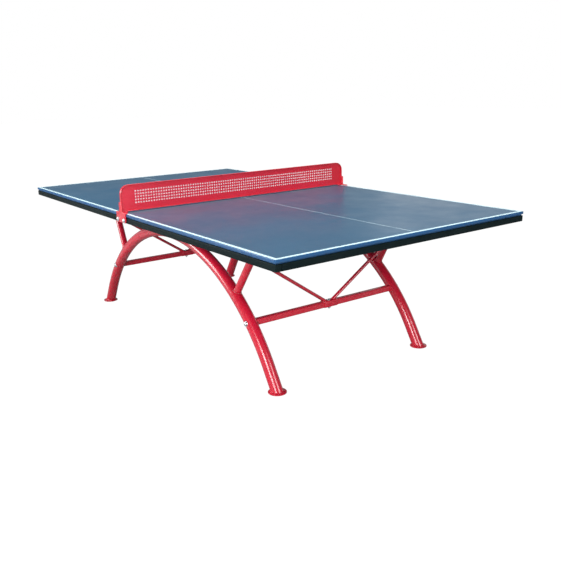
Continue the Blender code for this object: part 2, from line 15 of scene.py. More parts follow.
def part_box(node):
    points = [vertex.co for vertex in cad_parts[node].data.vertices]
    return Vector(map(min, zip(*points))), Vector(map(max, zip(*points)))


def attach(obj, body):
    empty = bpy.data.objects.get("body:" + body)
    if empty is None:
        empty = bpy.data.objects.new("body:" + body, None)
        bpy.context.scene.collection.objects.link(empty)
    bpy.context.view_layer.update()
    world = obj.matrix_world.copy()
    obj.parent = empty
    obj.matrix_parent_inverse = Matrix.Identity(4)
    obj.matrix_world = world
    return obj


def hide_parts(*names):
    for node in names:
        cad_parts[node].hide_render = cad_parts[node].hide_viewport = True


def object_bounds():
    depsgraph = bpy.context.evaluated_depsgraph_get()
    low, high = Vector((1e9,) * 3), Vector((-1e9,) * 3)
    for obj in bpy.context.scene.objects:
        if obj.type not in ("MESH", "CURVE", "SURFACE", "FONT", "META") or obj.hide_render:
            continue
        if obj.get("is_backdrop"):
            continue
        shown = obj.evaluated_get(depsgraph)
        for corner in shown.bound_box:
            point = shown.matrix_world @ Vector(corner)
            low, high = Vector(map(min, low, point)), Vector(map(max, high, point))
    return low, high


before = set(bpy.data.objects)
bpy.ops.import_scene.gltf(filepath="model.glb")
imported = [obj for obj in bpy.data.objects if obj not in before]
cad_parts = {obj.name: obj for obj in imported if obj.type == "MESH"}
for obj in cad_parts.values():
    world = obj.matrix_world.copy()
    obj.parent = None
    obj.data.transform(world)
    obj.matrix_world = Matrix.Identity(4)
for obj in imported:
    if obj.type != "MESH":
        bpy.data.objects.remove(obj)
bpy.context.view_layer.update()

SIDES = {"left": -1, "right": 1}   # along X, the length of the table
FACES = {"front": -1, "back": 1}   # along Y, its width
ROOT = "root"

# %% [markdown]
# ## Working like a modeller
# Blender's operators act on whatever is selected, so these helpers first leave one piece selected,
# and then pick faces, edges or points by where they are. Everything after this is built with them.

# %% Helpers for selecting
def only(piece):
    """Leaves one piece selected and active."""
    bpy.ops.object.select_all(action="DESELECT")
    piece.select_set(True)
    bpy.context.view_layer.objects.active = piece


def edit(piece, kind="FACE"):
    """Opens a piece in edit mode with nothing selected."""
    only(piece)
    bpy.ops.object.mode_set(mode="EDIT")
    bpy.ops.mesh.select_mode(type=kind)
    bpy.ops.mesh.select_all(action="DESELECT")


def done():
    """Back from edit mode to object mode."""
    bpy.ops.object.mode_set(mode="OBJECT")


def pick(piece, kind, test):
    """Selects the verts, edges or faces that pass a test, and nothing else."""
    bpy.ops.mesh.select_all(action="DESELECT")
    shape = bmesh.from_edit_mesh(piece.data)
    for part in getattr(shape, kind):
        if test(part):
            part.select_set(True)
    shape.select_flush_mode()
    bmesh.update_edit_mesh(piece.data)


FACING = 0.99              # a dot product above this is a face or edge that points that way
NEAR = 0.001               # a part this close to a plane belongs to it
CLOSE = 0.0001             # the same, where parts lie close together


def face_outwards():
    """Turns every face of the open piece outwards."""
    bpy.ops.mesh.select_all(action="SELECT")
    bpy.ops.mesh.normals_make_consistent(inside=False)


def middle(part):
    """The middle of an edge or a face."""
    return sum((vert.co for vert in part.verts), Vector()) / len(part.verts)


def runs_along(edge, axis):
    """True for an edge that is parallel to axis 0, 1 or 2."""
    way = (edge.verts[1].co - edge.verts[0].co).normalized()
    return abs(way[axis]) > FACING


# %% Helpers for shapes and modifiers
def cube(name, low, high):
    """A cube stretched between two corners."""
    low, high = Vector(low), Vector(high)
    bpy.ops.object.select_all(action="DESELECT")
    bpy.ops.mesh.primitive_cube_add(size=1, location=(low + high) / 2)
    piece = bpy.context.object
    piece.name = piece.data.name = name
    piece.scale = high - low
    bpy.ops.object.transform_apply(location=True, rotation=True, scale=True)
    return piece


def tube_between(name, start, end, radius, sides=32, ends="NGON"):
    """A cylinder from one point to another; ends NOTHING leaves it open."""
    start, end = Vector(start), Vector(end)
    bpy.ops.object.select_all(action="DESELECT")
    bpy.ops.mesh.primitive_cylinder_add(
        vertices=sides, radius=radius, depth=(end - start).length, end_fill_type=ends
    )
    piece = bpy.context.object
    piece.name = piece.data.name = name
    turn = (end - start).to_track_quat("Z", "Y").to_matrix().to_4x4()
    piece.matrix_world = Matrix.Translation((start + end) / 2) @ turn
    bpy.ops.object.transform_apply(location=True, rotation=True, scale=True)
    return piece


def apply(piece, kind, **settings):
    """Adds a modifier with these settings and applies it."""
    modifier = piece.modifiers.new(kind.lower(), kind)
    for name, value in settings.items():
        setattr(modifier, name, value)
    only(piece)
    bpy.ops.object.modifier_apply(modifier=modifier.name)


def thicken(piece, wall):
    """Gives an open surface a wall, inwards from its outer side."""
    apply(piece, "SOLIDIFY", thickness=wall, offset=-1, use_even_offset=True)


def cut(piece, cutter):
    """Takes one shape out of another."""
    apply(piece, "BOOLEAN", operation="DIFFERENCE", object=cutter)


def round_edges(piece, width, segments=3, sharper_than=30):
    """Rounds every edge that is sharper than an angle in degrees."""
    apply(
        piece,
        "BEVEL",
        width=width,
        segments=segments,
        limit_method="ANGLE",
        angle_limit=math.radians(sharper_than),
        use_clamp_overlap=True,
    )


def drop(*pieces):
    for piece in pieces:
        bpy.data.objects.remove(piece)


def finish_piece(piece, material, slot, *nodes, smooth_below=35):
    """Shades a piece, gives it its material, hangs it on the root body, and hides the frame nodes it stands
    for.
    """
    only(piece)
    bpy.ops.object.transform_apply(location=True, rotation=True, scale=True)
    bpy.ops.object.shade_smooth_by_angle(angle=math.radians(smooth_below))
    if material:
        piece.data.materials.clear()
        piece.data.materials.append(material)
    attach(piece, ROOT)
    if nodes:
        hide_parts(*nodes)
    return piece


# %% [markdown]
# ## Materials
# A paint is more than a colour. Sprayed and baked coatings have a faint orange peel, small changes
# in gloss, and colour that drifts a little over a long tube. Each recipe below mixes noise patterns
# into colour, roughness and bump. The patterns are laid in object space, in metres, so their scale
# is real and they don't slide over the surface.

# %% Helpers for materials
def new_material(name, roughness, metallic=0.0):
    """A principled material; its tree grows from here."""
    material = bpy.data.materials.new(name)
    material.use_nodes = True
    shader = material.node_tree.nodes["Principled BSDF"]
    shader.inputs["Roughness"].default_value = roughness
    shader.inputs["Metallic"].default_value = metallic
    return material, shader


def add_node(material, kind, **inputs):
    node = material.node_tree.nodes.new(kind)
    for name, value in inputs.items():
        node.inputs[name.replace("_", " ")].default_value = value
    return node


def link(material, source, target):
    material.node_tree.links.new(source, target)


def pattern(material, scale, detail=2.0, stretch=(1, 1, 1)):
    """Noise from 0 to 1 in object space; stretch below 1 draws it out along that axis."""
    place = add_node(material, "ShaderNodeTexCoord")
    mapping = add_node(material, "ShaderNodeMapping", Scale=stretch)
    noise = add_node(material, "ShaderNodeTexNoise", Scale=scale, Detail=detail)
    link(material, place.outputs["Object"], mapping.inputs["Vector"])
    link(material, mapping.outputs["Vector"], noise.inputs["Vector"])
    return noise.outputs["Fac"]


def remap(material, source, low, high, start=0.3, stop=0.7):
    """Spreads a pattern over a range of values."""
    node = add_node(
        material, "ShaderNodeMapRange", From_Min=start, From_Max=stop, To_Min=low, To_Max=high
    )
    link(material, source, node.inputs["Value"])
    return node.outputs["Result"]


def blend_colours(material, source, low, high, start=0.3, stop=0.7):
    """Runs from one colour to another as a pattern rises."""
    node = add_node(material, "ShaderNodeValToRGB")
    first, last = node.color_ramp.elements
    first.position, last.position = start, stop
    first.color, last.color = (*low, 1), (*high, 1)
    link(material, source, node.inputs["Fac"])
    return node.outputs["Color"]


def multiply(material, first, second):
    """Two colours multiplied, as a thin glaze over a base."""
    node = add_node(material, "ShaderNodeMix")
    node.data_type = "RGBA"
    node.blend_type = "MULTIPLY"
    node.inputs["Factor"].default_value = 1.0
    link(material, first, node.inputs["A"])
    link(material, second, node.inputs["B"])
    return node.outputs["Result"]


def bump(material, shader, *layers):
    """Adds bump from (pattern, height in metres) layers."""
    normal = None
    for source, height in layers:
        node = add_node(material, "ShaderNodeBump", Strength=1.0, Distance=height)
        link(material, source, node.inputs["Height"])
        if normal:
            link(material, normal, node.inputs["Normal"])
        normal = node.outputs["Normal"]
    link(material, normal, shader.inputs["Normal"])


def vary_gloss(material, shader, noise, low, high):
    """Lets the roughness wander between two values."""
    link(material, remap(material, noise, low, high), shader.inputs["Roughness"])


# %% [markdown]
# ### Red paint
# The legs and the net are steel with a baked red coat. It is glossy, so a lamp draws a bright line
# down each tube, and its orange peel breaks that line up a little.

# %% Red paint
def make_red_paint(name, deep, bright, roughness):
    material, shader = new_material(name, roughness)
    shader.inputs["Coat Weight"].default_value = 0.8
    shader.inputs["Coat Roughness"].default_value = 0.20
    shader.inputs["IOR"].default_value = 1.45
    drift = blend_colours(material, pattern(material, 3.5, 3.0), deep, bright)
    mottle = blend_colours(material, pattern(material, 140, 4.0), (0.95, 0.93, 0.93), (1, 1, 1))
    link(material, multiply(material, drift, mottle), shader.inputs["Base Color"])
    vary_gloss(material, shader, pattern(material, 40, 3.0), roughness - 0.04, roughness + 0.05)
    bump(material, shader, (pattern(material, 420, 1.5), 0.000003), (pattern(material, 22), 0.00001))
    return material


red_paint = make_red_paint("red_leg_paint", (0.58, 0.006, 0.026), (0.70, 0.010, 0.040), 0.30)
net_paint = make_red_paint("red_net_paint", (0.65, 0.010, 0.030), (0.74, 0.016, 0.042), 0.36)
weld_paint = make_red_paint("red_paint_over_weld", (0.52, 0.006, 0.024), (0.64, 0.010, 0.036), 0.36)
print("Three red coats")

# %% [markdown]
# ### Painted highlight round the punched holes
# Round every hole of the net the shallow dish is painted pale pink, as a small ring. This is a painted
# highlight: it stands in for the light that the punched rims catch.

# %% Painted highlight round the punched holes
def make_punched_rim_highlight():
    material, shader = new_material("punched_rim_painted_highlight", 0.35)
    # the ring's pale pink is a painted highlight, standing in for the light caught by the punched rims
    tone = blend_colours(material, pattern(material, 70, 3.0), (0.90, 0.64, 0.67), (0.97, 0.84, 0.86))
    link(material, tone, shader.inputs["Base Color"])
    vary_gloss(material, shader, pattern(material, 200, 2.0), 0.28, 0.45)
    bump(material, shader, (pattern(material, 900, 2.0), 0.00003))
    return material


punched_rim_highlight = make_punched_rim_highlight()

# %% [markdown]
# ### Blue playing surface
# The half tops are pressed from a glass-filled sheet moulding compound. The skin is satin rather
# than shiny, with a fine grain that grips the ball, and the pressing leaves faint clouds in it.

# %% Blue playing surface
def make_blue_surface(name, deep, bright, roughness, grain):
    material, shader = new_material(name, roughness)
    shader.inputs["IOR"].default_value = 1.48
    clouds = blend_colours(material, pattern(material, 2.2, 5.0), deep, bright)
    speckle = blend_colours(material, pattern(material, 900, 2.0), (0.86, 0.88, 0.90), (1.0, 1.0, 1.0))
    link(material, multiply(material, clouds, speckle), shader.inputs["Base Color"])
    vary_gloss(material, shader, pattern(material, 6, 4.0), roughness - 0.04, roughness + 0.06)
    bump(material, shader, (pattern(material, 1400, 1.0), grain), (pattern(material, 5), 0.0004))
    return material


blue_surface = make_blue_surface(
    "blue_playing_skin", (0.030, 0.101, 0.181), (0.036, 0.117, 0.204), roughness=0.33, grain=0.00005
)
edge_blue = make_blue_surface(
    "blue_moulded_edge", (0.013, 0.086, 0.225), (0.019, 0.102, 0.262), roughness=0.30, grain=0.00004
)
print("Two blues, for the skin and for the moulded edge")

# %% [markdown]
# ### White lines
# The border and centre lines are painted on. Outdoor line paint is thick and a little uneven.

# %% White line paint
def make_line_paint():
    material, shader = new_material("white_line_paint", 0.4)
    tone = blend_colours(material, pattern(material, 14, 4.0), (0.57, 0.78, 0.85), (0.66, 0.86, 0.91))
    link(material, tone, shader.inputs["Base Color"])
    vary_gloss(material, shader, pattern(material, 60, 2.0), 0.34, 0.48)
    bump(material, shader, (pattern(material, 700, 2.0), 0.00008))
    return material


line_paint = make_line_paint()

# %% [markdown]
# ### Black powder coat and zinc
# The frames under the tops wear a black powder coat with a leathery texture. Bolts, nuts and
# washers are zinc plated: bright, a little blue, and cloudy where the plating took unevenly.

# %% Black powder coat
def make_black_coat():
    material, shader = new_material("black_powder_coat", 0.42)
    shader.inputs["Specular IOR Level"].default_value = 0.07
    tone = blend_colours(material, pattern(material, 8, 4.0), (0.003, 0.009, 0.010), (0.007, 0.015, 0.016))
    link(material, tone, shader.inputs["Base Color"])
    vary_gloss(material, shader, pattern(material, 50, 3.0), 0.36, 0.52)
    bump(material, shader, (pattern(material, 800, 2.0), 0.00012))
    return material


black_coat = make_black_coat()


# %% Zinc plating
def make_zinc():
    material, shader = new_material("zinc_plate", 0.3, metallic=1.0)
    tone = blend_colours(material, pattern(material, 120, 4.0), (0.66, 0.67, 0.70), (0.86, 0.87, 0.88))
    link(material, tone, shader.inputs["Base Color"])
    vary_gloss(material, shader, pattern(material, 260, 3.0), 0.22, 0.42)
    bump(material, shader, (pattern(material, 900, 2.0), 0.00003))
    return material


zinc = make_zinc()
print(len(bpy.data.materials), "materials")

# %% [markdown]
# ## The half tops
# Each half is a slab with softened edges. Instead of painting the border and centre lines with a
# picture, the slab is cut along them with bisect planes, so every line is a real region of the
# surface with its own paint, sharp at any distance. The line stops where the edge starts to round.
# Underneath, the slab steps inwards before it meets the steel, which leaves a dark line all round:
# the bottom face is inset and extruded down.

# %% Half tops
LINE_WIDTH = 0.020
CENTRE_LINE_WIDTH = 0.003
TOP_EDGE_ROUNDING = 0.0032
TOP_CORNER_RADIUS = 0.006
STEP_HEIGHT = 0.0055       # the slab's stepped-in underside
STEP_DEPTH = 0.006


def cut_all(at, way):
    """Scores the whole open piece along a plane, as with a rule and a blade."""
    bpy.ops.mesh.select_all(action="SELECT")
    bpy.ops.mesh.bisect(plane_co=at, plane_no=way)


def make_half_top(side, sign):
    node = "top_panel_" + side
    low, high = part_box(node)
    top = cube("playing_top_" + side, (low.x, low.y, low.z + STEP_HEIGHT), high)
    edit(top, "EDGE")
    outer_x = max(abs(low.x), abs(high.x))
    pick(top, "edges", lambda e: runs_along(e, 2) and abs(middle(e).x) > outer_x - NEAR)
    bpy.ops.mesh.bevel(offset=TOP_CORNER_RADIUS, segments=5)
    done()
    round_edges(top, TOP_EDGE_ROUNDING, segments=4, sharper_than=60)
    edit(top)
    pick(top, "faces", lambda f: f.normal.z < -FACING)
    bpy.ops.mesh.inset(thickness=STEP_DEPTH, depth=0)
    bpy.ops.mesh.extrude_region_move(TRANSFORM_OT_translate={"value": (0, 0, -STEP_HEIGHT)})
    line_x = outer_x - LINE_WIDTH
    line_y = high.y - LINE_WIDTH
    cut_all((sign * line_x, 0, 0), (1, 0, 0))
    for y in (-line_y, -CENTRE_LINE_WIDTH / 2, CENTRE_LINE_WIDTH / 2, line_y):
        cut_all((0, y, 0), (0, 1, 0))
    done()
    top.data.materials.append(blue_surface)
    top.data.materials.append(line_paint)
    top.data.materials.append(edge_blue)
    for face in top.data.polygons:
        x, y, z = abs(face.center.x), abs(face.center.y), face.center.z
        if face.normal.z > 0.999 and z > high.z - CLOSE:
            on_line = x > line_x or y > line_y or y < CENTRE_LINE_WIDTH / 2
            face.material_index = 1 if on_line else 0
        else:
            face.material_index = 2 if abs(face.normal.z) < 0.75 else 0
    finish_piece(top, None, "blue_top", node)
    return top


for side, sign in SIDES.items():
    half_top = make_half_top(side, sign)
    print(half_top.name, len(half_top.data.polygons), "faces")

# %% [markdown]
# ## The steel frames
# Under each half runs a frame of square tube. Drawn tube never has sharp corners: the steel bends
# round with a radius of about one and a half walls, and that radius is what catches the light as a
# grey line down the table's corner. So each rail is a cube with its long edges rounded, its open
# ends removed, and a wall grown inwards.

# %% Frame rails
FRAME_WALL = 0.002
FRAME_CORNER = 0.0035


def square_tube(name, low, high, axis, wall, corner, closed_ends=()):
    """A drawn tube along an axis; closed_ends lists the signs of the ends that have a plate."""
    tube = cube(name, low, high)
    low, high = Vector(low), Vector(high)
    ends = {-1: low[axis], 1: high[axis]}

    def to_round(edge):
        if runs_along(edge, axis):
            return True
        return any(abs(middle(edge)[axis] - ends[end]) < CLOSE for end in closed_ends)

    edit(tube, "EDGE")
    pick(tube, "edges", to_round)
    bpy.ops.mesh.bevel(offset=corner, segments=4)
    bpy.ops.mesh.select_mode(type="FACE")
    way = Vector([1 if index == axis else 0 for index in range(3)])
    opened = [end for end in (-1, 1) if end not in closed_ends]
    pick(tube, "faces", lambda f: any(f.normal.dot(way * end) > FACING for end in opened))
    bpy.ops.mesh.delete(type="FACE")
    done()
    thicken(tube, wall)
    return tube


RAILS = [("frame_end_rail_" + side, 1, ()) for side in SIDES]
RAILS += [("frame_inner_rail_" + side, 1, ()) for side in SIDES]
RAILS += [("frame_cross_rib_" + side, 1, ()) for side in SIDES]
for face in FACES:
    RAILS += [(f"frame_side_rail_{side}_{face}", 0, (sign,)) for side, sign in SIDES.items()]
    RAILS += [(f"frame_beam_{side}_{face}", 0, ()) for side in SIDES]
for node, axis, closed in RAILS:
    low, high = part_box(node)
    name = node.replace("frame_", "steel_")
    rail = square_tube(name, low, high, axis, FRAME_WALL, FRAME_CORNER, closed)
    finish_piece(rail, black_coat, "black_frame", node)
print(len(RAILS), "rails, beams and ribs")

# %% [markdown]
# ## The arched legs
# Each pair of legs is one round tube rolled into an arc, foot to foot. The Spin operator does what
# the rolling machine does: it takes the tube's ring and turns it about the centre of the arc. A
# machine can't grip the last stretch, so both ends stay straight: they are extruded along the
# tube. Then they are sawn flat where they stand on their foot plates, and the tube gets its wall.

# %% Measures of the arches
leg_low, leg_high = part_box("arch_leg_front")
foot_low, foot_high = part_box("foot_plate_right_front")
LEG_RADIUS = (leg_high.y - leg_low.y) / 2
LEG_WALL = 0.003
ARCH_Y = -(leg_low.y + leg_high.y) / 2
ARCH_RISE = leg_high.z - LEG_RADIUS
HALF_SPREAD = (foot_low.x + foot_high.x) / 2
LEG_STRAIGHT = 0.123       # unbent end of the tube, from the floor up to the bend
RUN_ON = 0.050             # tube below the floor, sawn off later
ARCH_RADIUS = (ARCH_RISE**2 + HALF_SPREAD**2 - LEG_STRAIGHT**2) / (2 * ARCH_RISE)
ARCH_CENTRE_Z = ARCH_RISE - ARCH_RADIUS
ARCH_REACH = math.atan2(HALF_SPREAD, -ARCH_CENTRE_Z) - math.atan2(LEG_STRAIGHT, ARCH_RADIUS)
GAP = 0.0003               # left between pieces that touch


def arch_height(x):
    """Height of the arch's centre line."""
    return ARCH_CENTRE_Z + math.sqrt(ARCH_RADIUS**2 - x**2)


def deep_in_arch(point, turn):
    """How far a point lies inside the skin of an arch; negative outside."""
    from_centre = math.hypot(point.x, point.z - ARCH_CENTRE_Z)
    return LEG_RADIUS - math.hypot(from_centre - ARCH_RADIUS, point.y - turn * ARCH_Y)


print("Arch radius", round(ARCH_RADIUS, 4), "tube", round(2 * LEG_RADIUS, 4))


# %% Arched legs
ARCH_SIDES = 40
ARCH_STEPS = 120


def spin_arch(name, turn, radius):
    """A tube skin rolled round the arch's centre, with straight ends that run past the floor."""
    high, out = math.cos(ARCH_REACH), math.sin(ARCH_REACH)
    start = (ARCH_RADIUS * out, turn * ARCH_Y, ARCH_CENTRE_Z + ARCH_RADIUS * high)
    bpy.ops.object.select_all(action="DESELECT")
    bpy.ops.mesh.primitive_circle_add(
        vertices=ARCH_SIDES, radius=radius, location=start, rotation=(0, ARCH_REACH + math.pi / 2, 0)
    )
    arch = bpy.context.object
    arch.name = arch.data.name = name
    bpy.ops.object.transform_apply(location=True, rotation=True, scale=True)
    edit(arch, "EDGE")
    bpy.ops.mesh.select_all(action="SELECT")
    centre = (0, turn * ARCH_Y, ARCH_CENTRE_Z)
    bpy.ops.mesh.spin(steps=ARCH_STEPS, angle=2 * ARCH_REACH, center=centre, axis=(0, 1, 0))
    for sign in SIDES.values():
        pick(arch, "edges", lambda e: len(e.link_faces) < 2 and middle(e).x * sign > 0)
        down_the_leg = Vector((sign * high, 0, -out)) * (LEG_STRAIGHT + RUN_ON)
        bpy.ops.mesh.extrude_region_move(TRANSFORM_OT_translate={"value": down_the_leg})
    face_outwards()
    done()
    return arch


def make_leg(face, turn):
    node = "arch_leg_" + face
    leg = spin_arch("leg_tube_" + face, turn, LEG_RADIUS)
    edit(leg)
    bpy.ops.mesh.select_all(action="SELECT")
    floor = (0, 0, foot_high.z + GAP)
    bpy.ops.mesh.bisect(plane_co=floor, plane_no=(0, 0, 1), clear_inner=True)
    done()
    thicken(leg, LEG_WALL)
    return finish_piece(leg, red_paint, "red_paint", node, smooth_below=50)


for face, turn in FACES.items():
    leg = make_leg(face, turn)
    crown = max(vert.co.z for vert in leg.data.vertices)
    print(leg.name, len(leg.data.polygons), "faces, top at", round(crown, 4))

# %% [markdown]
# ## Weld beads
# Where one tube meets another the joint is welded all round, and paint goes over the bead. A bead
# is laid in small overlapping puddles, so it is modelled as a thin tube whose thickness swells and
# falls. Its path is found by sliding along the skin of one tube until it reaches the other.

# %% Weld bead
BEAD_RADIUS = 0.0027
BEAD_RIPPLE = 0.22
BEAD_PUDDLE = 0.0042       # length of one puddle along the joint
POINTS_PER_PUDDLE = 3
SEARCH_STEPS = 24          # halvings on the way to where two skins meet


def weld_bead(name, points, radius=BEAD_RADIUS):
    """A closed bead through points, in the paint of the tubes that it joins."""
    curve = bpy.data.curves.new(name, "CURVE")
    curve.dimensions = "3D"
    curve.bevel_depth = radius
    curve.bevel_resolution = 2
    spline = curve.splines.new("POLY")
    spline.points.add(len(points) - 1)
    spline.use_cyclic_u = True
    for index, point in enumerate(points):
        swell = math.sin(math.tau * index / POINTS_PER_PUDDLE)
        spline.points[index].co = (*point, 1)
        spline.points[index].radius = 1 + BEAD_RIPPLE * swell
    bead = bpy.data.objects.new(name, curve)
    bpy.context.scene.collection.objects.link(bead)
    only(bead)
    bpy.ops.object.convert(target="MESH")
    bead = bpy.context.object
    return finish_piece(bead, weld_paint, "red_paint", smooth_below=60)


def around(start, way, radius, reaches):
    """Points round a tube's skin, each slid along the tube until reaches(point) is true."""
    side = way.orthogonal().normalized()
    other = way.cross(side)
    count = POINTS_PER_PUDDLE * max(4, round(math.tau * radius / BEAD_PUDDLE))
    points = []
    for index in range(count):
        turn = math.tau * index / count
        skin = start + radius * (side * math.cos(turn) + other * math.sin(turn))
        near, far = 0.0, 4 * LEG_RADIUS
        for _ in range(SEARCH_STEPS):
            half = (near + far) / 2
            if reaches(skin + way * half):
                near = half
            else:
                far = half
        points.append(skin + way * near)
    return points


# %% [markdown]
# ## Feet
# A round plate is welded under the end of each leg, so that it can stand on paving. The plate is
# cut from sheet, with a softened rim.

# %% Feet
FOOT_RIM = 0.0015


def make_foot(side, sign, face):
    node = f"foot_plate_{side}_{face}"
    low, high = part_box(node)
    centre = (low + high) / 2
    radius = (high.x - low.x) / 2
    bottom, top = Vector((centre.x, centre.y, low.z)), Vector((centre.x, centre.y, high.z))
    foot = tube_between(f"foot_disc_{side}_{face}", bottom, top, radius, sides=64)
    round_edges(foot, FOOT_RIM)
    finish_piece(foot, red_paint, "red_paint", node)
    bead = []
    count = POINTS_PER_PUDDLE * round(math.tau * LEG_RADIUS / BEAD_PUDDLE)
    leg_x = HALF_SPREAD - high.z / math.tan(ARCH_REACH)
    for index in range(count):
        angle = math.tau * index / count
        y = centre.y + LEG_RADIUS * math.sin(angle)
        x = sign * (leg_x + LEG_RADIUS / math.sin(ARCH_REACH) * math.cos(angle))
        bead.append(Vector((x, y, high.z + BEAD_RADIUS / 2)))
    weld_bead(f"weld_foot_{side}_{face}", bead)
    return foot


for side, sign in SIDES.items():
    for face in FACES:
        make_foot(side, sign, face)
print("Four feet, welded on")

# %% [markdown]
# ## Struts
# From the shoulder of each arch a shorter tube leans outwards and up to the frame. Its foot is
# coped: cut to the curve of the tube that it stands on. A Boolean with a fatter copy of the arch
# makes that cut exactly, and a bisect plane saws its head flat under its plate.

# %% Struts
STRUT_WALL = 0.0025
STRUT_FOOT_X = 0.635
plate_low, plate_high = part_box("strut_plate_right_front")
plate_centre = (plate_low + plate_high) / 2
STRUT_HEAD = Vector((plate_centre.x, -plate_centre.y, plate_low.z - GAP))
STRUT_RADIUS = 0.019
copes = {face: spin_arch("cope_" + face, turn, LEG_RADIUS + GAP) for face, turn in FACES.items()}
for cope in copes.values():
    edit(cope, "EDGE")
    bpy.ops.mesh.select_non_manifold()
    bpy.ops.mesh.edge_face_add()
    face_outwards()
    done()


def strut_line(sign, turn):
    """The ends of a strut's centre line, on the arch's centre line and under its plate."""
    foot = Vector((sign * STRUT_FOOT_X, turn * ARCH_Y, arch_height(STRUT_FOOT_X)))
    head = Vector((sign * STRUT_HEAD.x, turn * STRUT_HEAD.y, STRUT_HEAD.z))
    return foot, head, (head - foot).normalized()


def make_strut(side, sign, face, turn):
    foot, head, way = strut_line(sign, turn)
    past = head + way * STRUT_RADIUS * 2
    strut = tube_between(f"strut_tube_{side}_{face}", foot, past, STRUT_RADIUS, sides=40, ends="NOTHING")
    edit(strut)
    bpy.ops.mesh.select_all(action="SELECT")
    bpy.ops.mesh.bisect(plane_co=head, plane_no=(0, 0, 1), clear_outer=True)
    done()
    thicken(strut, STRUT_WALL)
    cut(strut, copes[face])
    finish_piece(strut, red_paint, "red_paint", f"strut_{side}_{face}", smooth_below=40)
    on_arch = around(foot, way, STRUT_RADIUS, lambda point: deep_in_arch(point, turn) > -BEAD_RADIUS / 2)
    weld_bead(f"weld_strut_foot_{side}_{face}", on_arch)
    down = head - way * 2 * LEG_RADIUS
    under_plate = around(down, way, STRUT_RADIUS, lambda point: point.z < head.z - BEAD_RADIUS / 2)
    weld_bead(f"weld_strut_head_{side}_{face}", under_plate)


for side, sign in SIDES.items():
    for face, turn in FACES.items():
        make_strut(side, sign, face, turn)
print("Four struts, coped to the arches")

# %% [markdown]
# ## Bolts, nuts and washers
# A domed bolt head is a turned shape. Here it is drawn up from a ring of points: each step extrudes
# the ring a little higher and pulls it in, like raising a pot. The last ring closes in a cap. One
# function makes every head from its own short list of steps, whether it is round or a hexagon.

# %% Turned heads
def turned(name, seat, way, rings, sides=32, bored=False):
    """Raises a shape from (radius, height) rings along a direction; bored joins the last to the first."""
    bpy.ops.object.select_all(action="DESELECT")
    first_radius, first_height = rings[0]
    bpy.ops.mesh.primitive_circle_add(
        vertices=sides, radius=first_radius, location=(0, 0, first_height),
        fill_type="NOTHING" if bored else "NGON",
    )
    piece = bpy.context.object
    piece.name = piece.data.name = name
    bpy.ops.object.transform_apply(location=True, rotation=True, scale=True)
    edit(piece, "VERT")
    bpy.ops.mesh.select_all(action="SELECT")
    radius, height = first_radius, first_height
    for next_radius, next_height in rings[1:]:
        bpy.ops.mesh.extrude_region_move(TRANSFORM_OT_translate={"value": (0, 0, next_height - height)})
        share = next_radius / radius
        bpy.ops.transform.resize(value=(share, share, 1), center_override=(0, 0, next_height))
        radius, height = next_radius, next_height
    if bored:
        bpy.ops.mesh.select_mode(type="EDGE")
        bpy.ops.mesh.select_all(action="DESELECT")
        bpy.ops.mesh.select_non_manifold()
        bpy.ops.mesh.bridge_edge_loops()
    face_outwards()
    done()
    turn = Vector(way).to_track_quat("Z", "Y").to_matrix().to_4x4()
    piece.matrix_world = Matrix.Translation(seat) @ turn
    return piece


DOME_RIM = 0.25            # straight rim of a domed head, as a share of its height
DOME_STEPS = 6
EASE = 0.06                # how far a head's seat is drawn in, as a share of its radius
DOME_CROWN = 0.04          # flat left on top of a dome, as a share of its radius


def dome_rings(radius, height):
    """Rings of a domed head: a short straight rim, then a quarter ellipse."""
    rim = height * DOME_RIM
    rings = [(radius * (1 - EASE), 0.0), (radius, rim * 0.3), (radius, rim)]
    for step in range(1, DOME_STEPS):
        angle = math.radians(90) * step / DOME_STEPS
        rings.append((radius * math.cos(angle), rim + (height - rim) * math.sin(angle)))
    rings.append((radius * DOME_CROWN, height))
    return rings


def shank_rings(radius, length):
    """Rings that carry a bolt down from its head, with a chamfered tip."""
    chamfer = radius * 0.25
    return [(radius - chamfer, -length), (radius, -length + chamfer), (radius, -GAP)]


def make_bolt(name, node, seat, way, radius, height, shank, length):
    """A domed bolt: way points out of the head, and the shank goes the other way."""
    rings = shank_rings(shank, length) + dome_rings(radius, height)
    bolt = turned(name, seat, way, rings)
    return finish_piece(bolt, zinc, "zinc", node)


def washer_shape(name, seat, way, radius, thickness, bore):
    """A plain washer lying on a surface, with its edge eased."""
    ease = thickness * 0.3
    rings = [
        (bore, 0), (radius - ease, 0), (radius, ease), (radius, thickness - ease),
        (radius - ease, thickness), (bore, thickness),
    ]
    return turned(name, seat, way, rings, sides=40, bored=True)


# %% [markdown]
# ## Cross-bars
# A square tube joins the two arches near each end. A long bolt goes right through each leg into
# the bar, and its domed head shows on the outside of the leg, over a washer curved to the tube.

# %% Cross-bars
BAR_CORNER = 0.0035
BAR_WALL = 0.002
LEG_BOLT_RADIUS = 0.011
LEG_BOLT_HEIGHT = 0.007
LEG_BOLT_SHANK = 0.005
LEG_WASHER_RADIUS = 0.015
LEG_WASHER_SKIRT = 0.0045  # how far it reaches down round the tube


